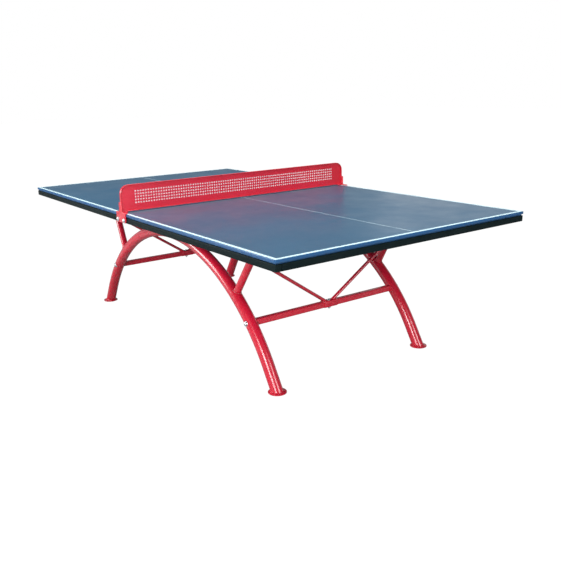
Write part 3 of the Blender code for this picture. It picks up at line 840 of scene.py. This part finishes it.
def make_cross_bar(side):
    node = "cross_bar_" + side
    low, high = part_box(node)
    bar = square_tube("cross_tube_" + side, low, high, 1, BAR_WALL, BAR_CORNER)
    for cope in copes.values():
        cut(bar, cope)
    finish_piece(bar, red_paint, "red_paint", node)
    centre = (low + high) / 2
    for face, turn in FACES.items():
        bolt_low, bolt_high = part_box(f"leg_bolt_{side}_{face}")
        outside = bolt_low.y if turn < 0 else bolt_high.y
        seat = Vector((centre.x, outside - turn * LEG_BOLT_HEIGHT, centre.z))
        length = bolt_high.y - bolt_low.y - LEG_BOLT_HEIGHT
        way = Vector((0, turn, 0))
        make_bolt(
            f"leg_bolt_dome_{side}_{face}", f"leg_bolt_{side}_{face}", seat, way,
            LEG_BOLT_RADIUS, LEG_BOLT_HEIGHT, LEG_BOLT_SHANK, length,
        )
        washer = washer_shape(
            f"leg_washer_{side}_{face}", seat - way * (LEG_WASHER_SKIRT + GAP), way,
            LEG_WASHER_RADIUS, LEG_WASHER_SKIRT + GAP / 2, LEG_BOLT_SHANK + GAP,
        )
        cut(washer, copes[face])
        finish_piece(washer, zinc, "zinc")


for side in SIDES:
    make_cross_bar(side)
print("Two cross-bars, each held by two bolts")

# %% [markdown]
# ## Saddles and V braces
# Near the middle of each cross-bar sits a saddle folded from sheet, held by one bolt and nut. Two
# round rods rise from it in a V to the struts. Their upper ends are pressed flat in a die and
# drilled, so that one bolt can clamp each of them to its strut. The press is imitated step by step:
# the rod is cut into short lengths, and each ring is made thinner one way and wider the other.

# %% Saddles
SADDLE_WALL = 0.003
SADDLE_FOLD = 0.004
SADDLE_EDGE = 0.0006
NUT_HEIGHT = 0.008
NUT_RADIUS = 0.0105
NUT_CHAMFER = 0.0008
SADDLE_BOLT_RADIUS = 0.009
SADDLE_BOLT_HEIGHT = 0.005
SADDLE_WASHER_RADIUS = 0.0108
SADDLE_WASHER = 0.0012
SADDLE_SHANK = 0.004
THREAD_PITCH = 0.00125
THREAD_DEPTH = 0.0006
THREAD_TIP = 0.0009        # how far the thread's end is drawn in
THREAD_LENGTH = 1.8 * NUT_HEIGHT
saddle_low, saddle_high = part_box("brace_saddle_right")
SADDLE_Y = (saddle_low.y + saddle_high.y) / 2
SADDLE_TOP = saddle_high.z


def folded_sheet(name, low, high, axis, fold, wall, edge):
    """A sheet folded down on both sides of an axis, open below and at its ends."""
    sheet = cube(name, low, high)
    edit(sheet, "EDGE")
    pick(sheet, "edges", lambda e: runs_along(e, axis) and middle(e).z > high.z - NEAR)
    bpy.ops.mesh.bevel(offset=fold, segments=5)
    bpy.ops.mesh.select_mode(type="FACE")
    pick(sheet, "faces", lambda f: f.normal.z < -FACING or abs(f.normal[axis]) > FACING)
    bpy.ops.mesh.delete(type="FACE")
    done()
    thicken(sheet, wall)
    round_edges(sheet, edge, segments=2, sharper_than=60)
    return sheet


def make_saddle(side):
    node = "brace_saddle_" + side
    low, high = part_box(node)
    saddle = folded_sheet(
        "saddle_plate_" + side, low, high, 1, SADDLE_FOLD, SADDLE_WALL, SADDLE_EDGE
    )
    finish_piece(saddle, red_paint, "red_paint", node)

    bolt_low, bolt_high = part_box("saddle_bolt_" + side)
    nut_low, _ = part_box("saddle_nut_" + side)
    middle_x = (low.x + high.x) / 2
    thread = [(SADDLE_SHANK, -GAP)]
    seat = Vector((middle_x, SADDLE_Y, bolt_high.z - SADDLE_BOLT_HEIGHT))
    reach = seat.z - bolt_low.z
    turns = math.ceil(THREAD_LENGTH / THREAD_PITCH)
    for index in range(2 * turns):
        depth = THREAD_DEPTH * (index % 2)
        from_tip = (2 * turns - index) * THREAD_PITCH / 2
        thread.append((SADDLE_SHANK - depth, from_tip - reach))
    thread.append((SADDLE_SHANK - THREAD_TIP, -reach))
    up = Vector((0, 0, 1))
    bore = SADDLE_SHANK + GAP
    washer = washer_shape("saddle_washer_" + side, seat, up, SADDLE_WASHER_RADIUS, SADDLE_WASHER, bore)
    finish_piece(washer, zinc, "zinc")
    on_washer = SADDLE_WASHER + GAP
    dome = dome_rings(SADDLE_BOLT_RADIUS, SADDLE_BOLT_HEIGHT - on_washer)
    rings = thread[::-1] + [(radius, height + on_washer) for radius, height in dome]
    bolt = turned("saddle_bolt_dome_" + side, seat, up, rings)
    finish_piece(bolt, zinc, "zinc", "saddle_bolt_" + side)

    eased = NUT_RADIUS - NUT_CHAMFER
    nut_rings = [
        (bore, 0), (eased, 0), (NUT_RADIUS, NUT_CHAMFER), (NUT_RADIUS, NUT_HEIGHT - NUT_CHAMFER),
        (eased, NUT_HEIGHT), (bore, NUT_HEIGHT),
    ]
    nut = turned(
        "saddle_nut_hexagon_" + side, (middle_x, SADDLE_Y, nut_low.z), up, nut_rings, sides=6, bored=True
    )
    finish_piece(nut, zinc, "zinc", "saddle_nut_" + side, smooth_below=20)


for side in SIDES:
    make_saddle(side)
print("Two saddles with their bolts and nuts")

# %% V brace rods
ROD_RADIUS = 0.009
ROD_FOOT_Y = 0.028         # from the saddle's middle
ROD_RUN_ON = 0.040
ROD_END_DROP = 0.087       # from the strut's head down to the rod's bolt
TAB_THICKNESS = 0.005
TAB_WIDTH = 0.027
TAB_REACH = 0.015
TAB_FLAT = 0.018
TAB_TAPER = 0.034
TAB_STAND_OFF = 0.0020
TAB_EDGE = 0.0008
TAPER_STEPS = 10
ROD_BOLT_RADIUS = 0.0085
ROD_BOLT_HEIGHT = 0.0055
ROD_BOLT_SHANK = 0.004
ROD_BOLT_REACH = 0.028


def rod_line(sign, turn):
    """Where a rod starts and is bolted, its direction, and the way its flat end faces."""
    foot, head, strut_way = strut_line(sign, turn)
    held = foot + strut_way * ((head.z - ROD_END_DROP - foot.z) / strut_way.z)
    bar_low, bar_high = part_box("cross_bar_right")
    bar_x = (bar_low.x + bar_high.x) / 2
    start = Vector((sign * bar_x, SADDLE_Y + turn * ROD_FOOT_Y, SADDLE_TOP))
    outwards = Vector((sign * strut_way.z, 0, -abs(strut_way.x))).normalized()
    facing = outwards
    for _ in range(3):
        end = held + facing * (STRUT_RADIUS + TAB_STAND_OFF + TAB_THICKNESS / 2)
        way = (end - start).normalized()
        facing = (outwards - way * outwards.dot(way)).normalized()
    return start, end, way, facing


def make_rod(side, sign, face, turn):
    start, end, way, facing = rod_line(sign, turn)
    first, last = start - way * ROD_RUN_ON, end + way * TAB_REACH
    length = (last - first).length
    taper_start = length - TAB_REACH - TAB_FLAT - TAB_TAPER
    rod = tube_between(
        f"brace_rod_pressed_{side}_{face}", (0, 0, 0), (0, 0, length), ROD_RADIUS, sides=24
    )
    edit(rod)
    for step in range(TAPER_STEPS + 1):
        cut_all((0, 0, taper_start + TAB_TAPER * step / TAPER_STEPS), (0, 0, 1))
    bpy.ops.mesh.select_mode(type="VERT")
    stations = [taper_start + TAB_TAPER * step / TAPER_STEPS for step in range(1, TAPER_STEPS + 1)]
    for step, station in enumerate([*stations, length], start=1):
        share = min(step / TAPER_STEPS, 1)
        share = share * share * (3 - 2 * share)
        pick(rod, "verts", lambda v: abs(v.co.z - station) < CLOSE)
        thin = 1 + share * (TAB_THICKNESS / (2 * ROD_RADIUS) - 1)
        wide = 1 + share * (TAB_WIDTH / (2 * ROD_RADIUS) - 1)
        bpy.ops.transform.resize(value=(thin, wide, 1), center_override=(0, 0, station))
    done()
    round_edges(rod, TAB_EDGE, segments=2, sharper_than=60)
    across = way.cross(facing)
    place = Matrix((facing, across, way)).transposed().to_4x4()
    rod.matrix_world = Matrix.Translation(first) @ place
    only(rod)
    bpy.ops.object.transform_apply(location=True, rotation=True, scale=True)
    edit(rod)
    bpy.ops.mesh.select_all(action="SELECT")
    bpy.ops.mesh.bisect(
        plane_co=(0, 0, SADDLE_TOP + GAP), plane_no=(0, 0, 1), clear_inner=True, use_fill=True
    )
    done()
    finish_piece(rod, red_paint, "red_paint", f"brace_rod_{side}_{face}", smooth_below=50)
    above = start + way * ROD_RUN_ON
    on_saddle = around(above, -way, ROD_RADIUS, lambda point: point.z > SADDLE_TOP + BEAD_RADIUS / 2)
    weld_bead(f"weld_rod_{side}_{face}", on_saddle, radius=BEAD_RADIUS * 0.8)

    seat = end + facing * (TAB_THICKNESS / 2 + GAP)
    make_bolt(
        f"brace_bolt_dome_{side}_{face}", f"brace_bolt_{side}_{face}", seat, facing,
        ROD_BOLT_RADIUS, ROD_BOLT_HEIGHT, ROD_BOLT_SHANK, ROD_BOLT_REACH,
    )


for side, sign in SIDES.items():
    for face, turn in FACES.items():
        make_rod(side, sign, face, turn)
drop(*copes.values())
print("Four brace rods with pressed ends")

# %% [markdown]
# ## Seats and strut plates
# Under the frame's beams, each arch's crown carries a seat folded from thick sheet, and each strut
# ends in a small plate. Both are screwed up into the beams. They are hidden in daily use, but they
# are what holds the tops on, and they show as soon as someone kneels down to look.

# %% Seats and strut plates
SEAT_WALL = 0.005
SEAT_FOLD = 0.008
SEAT_EDGE = 0.001
PLATE_CORNER = 0.006
PLATE_EDGE = 0.0008
SCREW_RADIUS = 0.0065
SCREW_HEIGHT = 0.0045
SCREW_FLANGE_RADIUS = 0.00975
SCREW_FLANGE = 0.001
SCREW_IN = 0.014           # from the plate's end to its screw


def make_seat(face):
    node = "arch_seat_" + face
    low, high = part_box(node)
    seat = folded_sheet("crown_seat_" + face, low, high, 0, SEAT_FOLD, SEAT_WALL, SEAT_EDGE)
    return finish_piece(seat, red_paint, "red_paint", node)


def make_plate(side, face):
    node = f"strut_plate_{side}_{face}"
    low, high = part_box(node)
    plate = cube(f"strut_cap_{side}_{face}", low, high)
    edit(plate, "EDGE")
    pick(plate, "edges", lambda e: runs_along(e, 2))
    bpy.ops.mesh.bevel(offset=PLATE_CORNER, segments=5)
    done()
    round_edges(plate, PLATE_EDGE, segments=2, sharper_than=60)
    finish_piece(plate, red_paint, "red_paint", node)
    centre = (low + high) / 2
    for end, name in ((low.x + SCREW_IN, "in"), (high.x - SCREW_IN, "out")):
        rings = [
            (SCREW_FLANGE_RADIUS, 0), (SCREW_FLANGE_RADIUS, SCREW_FLANGE), (SCREW_RADIUS, 0.0012),
            (SCREW_RADIUS, SCREW_HEIGHT * 0.85), (SCREW_RADIUS * 0.85, SCREW_HEIGHT),
        ]
        seat = Vector((end, centre.y, low.z))
        screw = turned(f"plate_screw_{side}_{face}_{name}", seat, (0, 0, -1), rings, sides=6)
        finish_piece(screw, zinc, "zinc", smooth_below=20)


for face in FACES:
    make_seat(face)
    for side in SIDES:
        make_plate(side, face)
print("Two seats and four plates")

# %% [markdown]
# ## The steel net
# Outdoors the net is a steel sheet with rows of punched holes. One cell of the pattern is made
# once: a ring of points inside a square, bridged to it, and drawn in to a shallow dish. Two Array
# modifiers repeat it along the net and up it, the plain border is filled in around the field, and
# the whole sheet gets its thickness.

# %% Net sheet
HOLE_PITCH = 0.0152
HOLE_RADIUS = 0.0021
DISH_RADIUS = 0.0043       # the punch leaves a shallow dish round each hole
DISH_DEPTH = 0.0007
HOLE_COLUMNS = 90
HOLE_ROWS = 5
HOLE_SIDES = 16
FIELD_LIFT = 0.0027        # of the field's middle above the sheet's
NET_TOP_RADIUS = 0.045
NET_BOTTOM_RADIUS = 0.007
MERGE = 0.00005
SLIVER = 0.001             # half the thickness of the block that an outline is cut from


def join(name, *pieces):
    """Makes one piece of several."""
    bpy.ops.object.select_all(action="DESELECT")
    for piece in pieces:
        piece.select_set(True)
    bpy.context.view_layer.objects.active = pieces[0]
    bpy.ops.object.join()
    pieces[0].name = pieces[0].data.name = name
    return pieces[0]


def upright_outline(name, low, high, top_radius, bottom_radius):
    """A flat sheet across the table with rounded corners, in the plane between its faces."""
    outline = cube(name, (-SLIVER, low.y, low.z), (SLIVER, high.y, high.z))
    edit(outline)
    pick(outline, "faces", lambda f: f.normal.x < FACING)
    bpy.ops.mesh.delete(type="FACE")
    bpy.ops.mesh.select_mode(type="VERT")
    centre_z = (low.z + high.z) / 2
    pick(outline, "verts", lambda v: v.co.z > centre_z)
    bpy.ops.mesh.bevel(offset=top_radius, segments=12, affect="VERTICES")
    pick(outline, "verts", lambda v: v.co.z < low.z + CLOSE)
    bpy.ops.mesh.bevel(offset=bottom_radius, segments=4, affect="VERTICES")
    bpy.ops.mesh.select_all(action="SELECT")
    bpy.ops.transform.translate(value=(-SLIVER, 0, 0))
    done()
    return outline


def make_hole_field(centre_z):
    """The punched part of the net: one cell, repeated along Y and Z."""
    first_y = -HOLE_PITCH * (HOLE_COLUMNS - 1) / 2
    first_z = centre_z - HOLE_PITCH * (HOLE_ROWS - 1) / 2
    sideways = (0, math.radians(90), 0)
    bpy.ops.object.select_all(action="DESELECT")
    centre = (0, first_y, first_z)
    bpy.ops.mesh.primitive_plane_add(size=HOLE_PITCH, location=centre, rotation=sideways)
    cell = bpy.context.object
    edit(cell, "EDGE")
    bpy.ops.mesh.select_all(action="SELECT")
    bpy.ops.mesh.delete(type="ONLY_FACE")
    bpy.ops.mesh.select_all(action="SELECT")
    bpy.ops.mesh.subdivide(number_cuts=HOLE_SIDES // 4 - 1)
    done()
    bpy.ops.object.select_all(action="DESELECT")
    bpy.ops.mesh.primitive_circle_add(
        vertices=HOLE_SIDES, radius=DISH_RADIUS, location=centre, rotation=sideways
    )
    hole = bpy.context.object
    cell = join("net_cell", cell, hole)
    bpy.ops.object.transform_apply(location=True, rotation=True, scale=True)
    edit(cell, "EDGE")
    bpy.ops.mesh.select_all(action="SELECT")
    bpy.ops.mesh.bridge_edge_loops()

    def from_centre(place):
        return math.hypot(place.y - first_y, place.z - first_z)

    pick(cell, "edges", lambda e: from_centre(middle(e)) < DISH_RADIUS)
    bpy.ops.mesh.extrude_region_move(TRANSFORM_OT_translate={"value": (-DISH_DEPTH, 0, 0)})
    share = HOLE_RADIUS / DISH_RADIUS
    bpy.ops.transform.resize(value=(1, share, share), center_override=centre)
    done()
    cell.data.materials.append(net_paint)
    cell.data.materials.append(punched_rim_highlight)
    # the dish round each hole gets the pale painted highlight
    for face in cell.data.polygons:
        face.material_index = 1 if from_centre(face.center) < DISH_RADIUS else 0
    for count, step in ((HOLE_COLUMNS, (0, HOLE_PITCH, 0)), (HOLE_ROWS, (0, 0, HOLE_PITCH))):
        apply(
            cell, "ARRAY", count=count, use_relative_offset=False, use_constant_offset=True,
            constant_offset_displace=step, use_merge_vertices=True, merge_threshold=MERGE,
        )
    return cell


def make_net_sheet():
    low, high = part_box("net_panel")
    centre_z = (low.z + high.z) / 2 + FIELD_LIFT
    field = make_hole_field(centre_z)
    outline = upright_outline("net_outline", low, high, NET_TOP_RADIUS, NET_BOTTOM_RADIUS)
    edit(outline)
    bpy.ops.mesh.select_all(action="SELECT")
    bpy.ops.mesh.delete(type="ONLY_FACE")
    done()
    sheet = join("net_sheet", field, outline)
    edit(sheet, "EDGE")
    half_y, half_z = HOLE_PITCH * HOLE_COLUMNS / 2, HOLE_PITCH * HOLE_ROWS / 2

    def on_field_edge(part):
        y, z = abs(middle(part).y), abs(middle(part).z - centre_z)
        return y > half_y - MERGE * 2 or z > half_z - MERGE * 2

    pick(sheet, "edges", lambda e: on_field_edge(e) and len(e.link_faces) < 2)
    bpy.ops.mesh.fill()
    face_outwards()
    done()
    apply(sheet, "SOLIDIFY", thickness=high.x - low.x, offset=0)
    return finish_piece(sheet, None, "red_paint", "net_panel", smooth_below=15)


net_sheet = make_net_sheet()
print(net_sheet.name, len(net_sheet.data.polygons), "faces")

# %% [markdown]
# ### The net's rim
# A flat bar bent round the sheet stiffens it and hides the sawn edge. It starts as the same
# outline, inset to a thin loop, widened to the bar's width, with its four long edges rounded over.

# %% Net rim
RIM_THICKNESS = 0.003
RIM_EDGE = 0.0011


def make_net_rim():
    low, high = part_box("net_rim")
    top_radius, bottom_radius = NET_TOP_RADIUS + RIM_THICKNESS, NET_BOTTOM_RADIUS + RIM_THICKNESS
    rim = upright_outline("net_rim_bar", low, high, top_radius, bottom_radius)
    edit(rim)
    bpy.ops.mesh.select_all(action="SELECT")
    bpy.ops.mesh.inset(thickness=RIM_THICKNESS, depth=0, use_even_offset=True)
    bpy.ops.mesh.delete(type="FACE")
    done()
    apply(rim, "SOLIDIFY", thickness=high.x - low.x, offset=0)
    round_edges(rim, RIM_EDGE, segments=3, sharper_than=60)
    return finish_piece(rim, net_paint, "red_paint", "net_rim")


make_net_rim()

# %% [markdown]
# ## The net's brackets
# On each side of the table a pressed bracket is bolted to the frame. Its lip rests on the edge of
# the top, a narrow flange runs in under the net, and a tongue runs up the net's end. It is drawn out
# of one plate: the plate is cut where they start, and those faces are extruded.

# %% Net brackets
BRACKET_PLATE = 0.005
BRACKET_CORNER = 0.010
BRACKET_EDGE = 0.0012
BRACKET_LIP = 0.0103       # over the edge of the top, on either side of the flange
FLANGE_CORNER = 0.005
TONGUE_WIDTH = 0.030
BRACKET_BOLT_RADIUS = 0.0095
BRACKET_BOLT_HEIGHT = 0.008
BRACKET_BOLT_SHANK = 0.004
WASHER_RADIUS = 0.0125
WASHER_THICKNESS = 0.0015


def make_bracket(face, turn):
    node = "net_bracket_" + face
    low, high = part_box(node)
    table_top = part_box("top_panel_left")[1].z
    flange_bottom, flange_top = table_top + GAP, table_top + GAP + BRACKET_PLATE
    outer = low.y if turn < 0 else high.y
    inner = outer - turn * BRACKET_PLATE
    reach = high.y - low.y - BRACKET_PLATE
    sheet_low = (low.x, min(outer, inner), low.z)
    sheet_high = (high.x, max(outer, inner), flange_top)
    bracket = cube("bracket_plate_" + face, sheet_low, sheet_high)
    edit(bracket)
    cut_all((0, 0, flange_bottom), (0, 0, 1))
    for x in (-TONGUE_WIDTH / 2, TONGUE_WIDTH / 2):
        cut_all((x, 0, 0), (1, 0, 0))
    pick(bracket, "faces", lambda f: f.normal.y * turn < -FACING and middle(f).z > flange_bottom)
    bpy.ops.mesh.extrude_region_move(TRANSFORM_OT_translate={"value": (0, -turn * BRACKET_LIP, 0)})

    def under_net(part):
        at_lip = abs(middle(part).y - (inner - turn * BRACKET_LIP)) < NEAR
        return at_lip and part.normal.y * turn < -FACING and abs(middle(part).x) < TONGUE_WIDTH / 2

    pick(bracket, "faces", under_net)
    further = turn * (BRACKET_LIP - reach)
    bpy.ops.mesh.extrude_region_move(TRANSFORM_OT_translate={"value": (0, further, 0)})

    def under_tongue(part):
        centre = middle(part)
        on_plate = abs(centre.y - (outer + inner) / 2) < BRACKET_PLATE / 2
        return part.normal.z > FACING and on_plate and abs(centre.x) < TONGUE_WIDTH / 2

    pick(bracket, "faces", under_tongue)
    bpy.ops.mesh.extrude_region_move(TRANSFORM_OT_translate={"value": (0, 0, high.z - flange_top)})
    bpy.ops.mesh.select_mode(type="EDGE")

    def lower_corner(edge):
        at = middle(edge)
        return runs_along(edge, 1) and at.z < low.z + NEAR and abs(at.x) > high.x - NEAR

    pick(bracket, "edges", lower_corner)
    bpy.ops.mesh.bevel(offset=BRACKET_CORNER, segments=6)
    flange_end = inner - turn * reach
    lip_end = inner - turn * BRACKET_LIP

    def outer_corner(edge):
        at = middle(edge)
        on_lip = abs(at.y - lip_end) < NEAR and abs(at.x) > high.x - NEAR
        return runs_along(edge, 2) and (on_lip or abs(at.y - flange_end) < NEAR)

    pick(bracket, "edges", outer_corner)
    bpy.ops.mesh.bevel(offset=FLANGE_CORNER, segments=5)
    bpy.ops.mesh.select_all(action="SELECT")
    bpy.ops.mesh.remove_doubles(threshold=MERGE)
    bpy.ops.mesh.normals_make_consistent(inside=False)
    done()
    round_edges(bracket, BRACKET_EDGE, segments=3, sharper_than=60)
    finish_piece(bracket, net_paint, "red_paint", node)
    for side, sign in SIDES.items():
        bolt_low, bolt_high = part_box(f"bracket_bolt_{side}_{face}")
        seat = (bolt_low + bolt_high) / 2
        seat.y = outer + turn * GAP
        way = Vector((0, turn, 0))
        washer = washer_shape(
            f"bracket_washer_{side}_{face}", seat, way,
            WASHER_RADIUS, WASHER_THICKNESS, BRACKET_BOLT_SHANK + GAP,
        )
        finish_piece(washer, zinc, "zinc")
        on_washer = WASHER_THICKNESS + GAP
        height = BRACKET_BOLT_HEIGHT - on_washer - GAP
        length = bolt_high.y - bolt_low.y - BRACKET_BOLT_HEIGHT + on_washer
        make_bolt(
            f"bracket_bolt_dome_{side}_{face}", f"bracket_bolt_{side}_{face}",
            seat + way * on_washer, way, BRACKET_BOLT_RADIUS, height, BRACKET_BOLT_SHANK, length,
        )


for face, turn in FACES.items():
    make_bracket(face, turn)
print("Two brackets with their bolts")

# %% [markdown]
# ## The studio
# The table stands on a plain pale floor in soft light. A large soft box hangs overhead and another
# stands to the left. A small one at the near right draws the bright line down the near legs, and one
# beyond the end fills the right. A dim card behind and a brighter horizon lift the glossy upper faces.

# %% Floor
FLOOR_SIZE = 60
FLOOR_DROP = 0.0005
FLOOR_GREY = 0.42
FLOOR_GLOW = 1.12
GLOW_SHARE = 0.90          # of the floor's look; its light on the table comes from the grey alone

bpy.ops.object.select_all(action="DESELECT")
bpy.ops.mesh.primitive_plane_add(size=FLOOR_SIZE, location=(0, 0, -FLOOR_DROP))
floor = bpy.context.object
floor.name = "studio_floor"
floor_paint, floor_shader = new_material("pale_floor", 0.9)
floor_shader.inputs["Base Color"].default_value = (FLOOR_GREY, FLOOR_GREY, FLOOR_GREY, 1)
glow = add_node(floor_paint, "ShaderNodeEmission", Color=(1, 1, 1, 1), Strength=FLOOR_GLOW)
seen = add_node(floor_paint, "ShaderNodeLightPath")
share = add_node(floor_paint, "ShaderNodeMath")
share.operation = "MULTIPLY"
share.inputs[1].default_value = GLOW_SHARE
mixed = add_node(floor_paint, "ShaderNodeMixShader")
link(floor_paint, seen.outputs["Is Camera Ray"], share.inputs[0])
link(floor_paint, share.outputs["Value"], mixed.inputs["Fac"])
link(floor_paint, floor_shader.outputs["BSDF"], mixed.inputs[1])
link(floor_paint, glow.outputs["Emission"], mixed.inputs[2])
link(floor_paint, mixed.outputs["Shader"], floor_paint.node_tree.nodes["Material Output"].inputs["Surface"])
floor.data.materials.append(floor_paint)
floor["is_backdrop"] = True

# %% World
ROOM_LIGHT = 0.14
HORIZON_LIGHT = 0.65
HORIZON_LOW = 0.08         # sines of the heights between which the one fades into the other
HORIZON_HIGH = 0.22
world = bpy.data.worlds.new("studio")
bpy.context.scene.world = world
world.use_nodes = True
room = world.node_tree.nodes["Background"]
room.inputs["Color"].default_value = (0.93, 0.96, 1.0, 1)
place = world.node_tree.nodes.new("ShaderNodeTexCoord")
split = world.node_tree.nodes.new("ShaderNodeSeparateXYZ")
world.node_tree.links.new(place.outputs["Generated"], split.inputs["Vector"])
horizon = world.node_tree.nodes.new("ShaderNodeMapRange")
horizon.inputs["From Min"].default_value = HORIZON_LOW
horizon.inputs["From Max"].default_value = HORIZON_HIGH
horizon.inputs["To Min"].default_value = HORIZON_LIGHT
horizon.inputs["To Max"].default_value = ROOM_LIGHT
world.node_tree.links.new(split.outputs["Z"], horizon.inputs["Value"])
world.node_tree.links.new(horizon.outputs["Result"], room.inputs["Strength"])
backdrop = world.node_tree.nodes.new("ShaderNodeBackground")
backdrop.inputs["Color"].default_value = (1, 1, 1, 1)
backdrop.inputs["Strength"].default_value = 1.0
path = world.node_tree.nodes.new("ShaderNodeLightPath")
choose = world.node_tree.nodes.new("ShaderNodeMixShader")
world.node_tree.links.new(path.outputs["Is Camera Ray"], choose.inputs["Fac"])
world.node_tree.links.new(room.outputs["Background"], choose.inputs[1])
world.node_tree.links.new(backdrop.outputs["Background"], choose.inputs[2])
world.node_tree.links.new(choose.outputs["Shader"], world.node_tree.nodes["World Output"].inputs["Surface"])


# %% Lamps
def soft_box(name, place, aim, size, power):
    """A rectangular lamp that faces a point."""
    lamp = bpy.data.lights.new(name, "AREA")
    lamp.shape = "RECTANGLE"
    lamp.size, lamp.size_y = size
    lamp.energy = power
    holder = bpy.data.objects.new(name, lamp)
    bpy.context.scene.collection.objects.link(holder)
    holder.location = place
    holder.rotation_euler = (Vector(aim) - Vector(place)).to_track_quat("-Z", "Y").to_euler()


soft_box("overhead_box", place=(0.3, -0.4, 4.2), aim=(0, 0, 0.7), size=(4.5, 3.5), power=190)
soft_box("left_box", place=(-3.5, -4.5, 2.2), aim=(0.2, 0, 0.4), size=(2.4, 2.6), power=215)
soft_box("key_box", place=(2.9, -4.05, 2.0), aim=(0.9, -0.48, 0.25), size=(1.6, 1.2), power=125)
soft_box("right_fill", place=(5.2, 0.4, 2.3), aim=(0.8, 0, 0.4), size=(1.6, 1.6), power=85)
soft_box("back_card", place=(-1.5, 6.0, 1.6), aim=(0, 0, 0.8), size=(6.0, 2.8), power=24)
print(len(bpy.data.lights), "lamps")

# %% Camera
CAMERA_PLACE = (3.4112, -2.229, 1.3793)
CAMERA_LENS = 44.72
CAMERA_SIGHT = 200
AZIMUTH, ELEVATION, ROLL = (math.radians(angle) for angle in (53.891, 15.522, -1.288))
camera = bpy.data.objects.new("camera", bpy.data.cameras.new("camera"))
bpy.context.scene.collection.objects.link(camera)
bpy.context.scene.camera = camera
camera.data.lens = CAMERA_LENS
camera.data.clip_end = CAMERA_SIGHT
back = Vector((
    math.sin(AZIMUTH) * math.cos(ELEVATION), -math.cos(AZIMUTH) * math.cos(ELEVATION), math.sin(ELEVATION)
))
level = Vector((math.cos(AZIMUTH), math.sin(AZIMUTH), 0))
upright = back.cross(level)
right = level * math.cos(ROLL) + upright * math.sin(ROLL)
up = upright * math.cos(ROLL) - level * math.sin(ROLL)
facing = Matrix((right, up, back)).transposed().to_4x4()
camera.matrix_world = Matrix.Translation(CAMERA_PLACE) @ facing
bpy.context.scene.view_settings.view_transform = "Standard"

# %% [markdown]
# ## The size
# The dressed table must still be the size of its frame. Its box is printed below.

# %% Sizes and finish
low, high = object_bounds()
print("Table", [round(v, 4) for v in (*low, *high)])
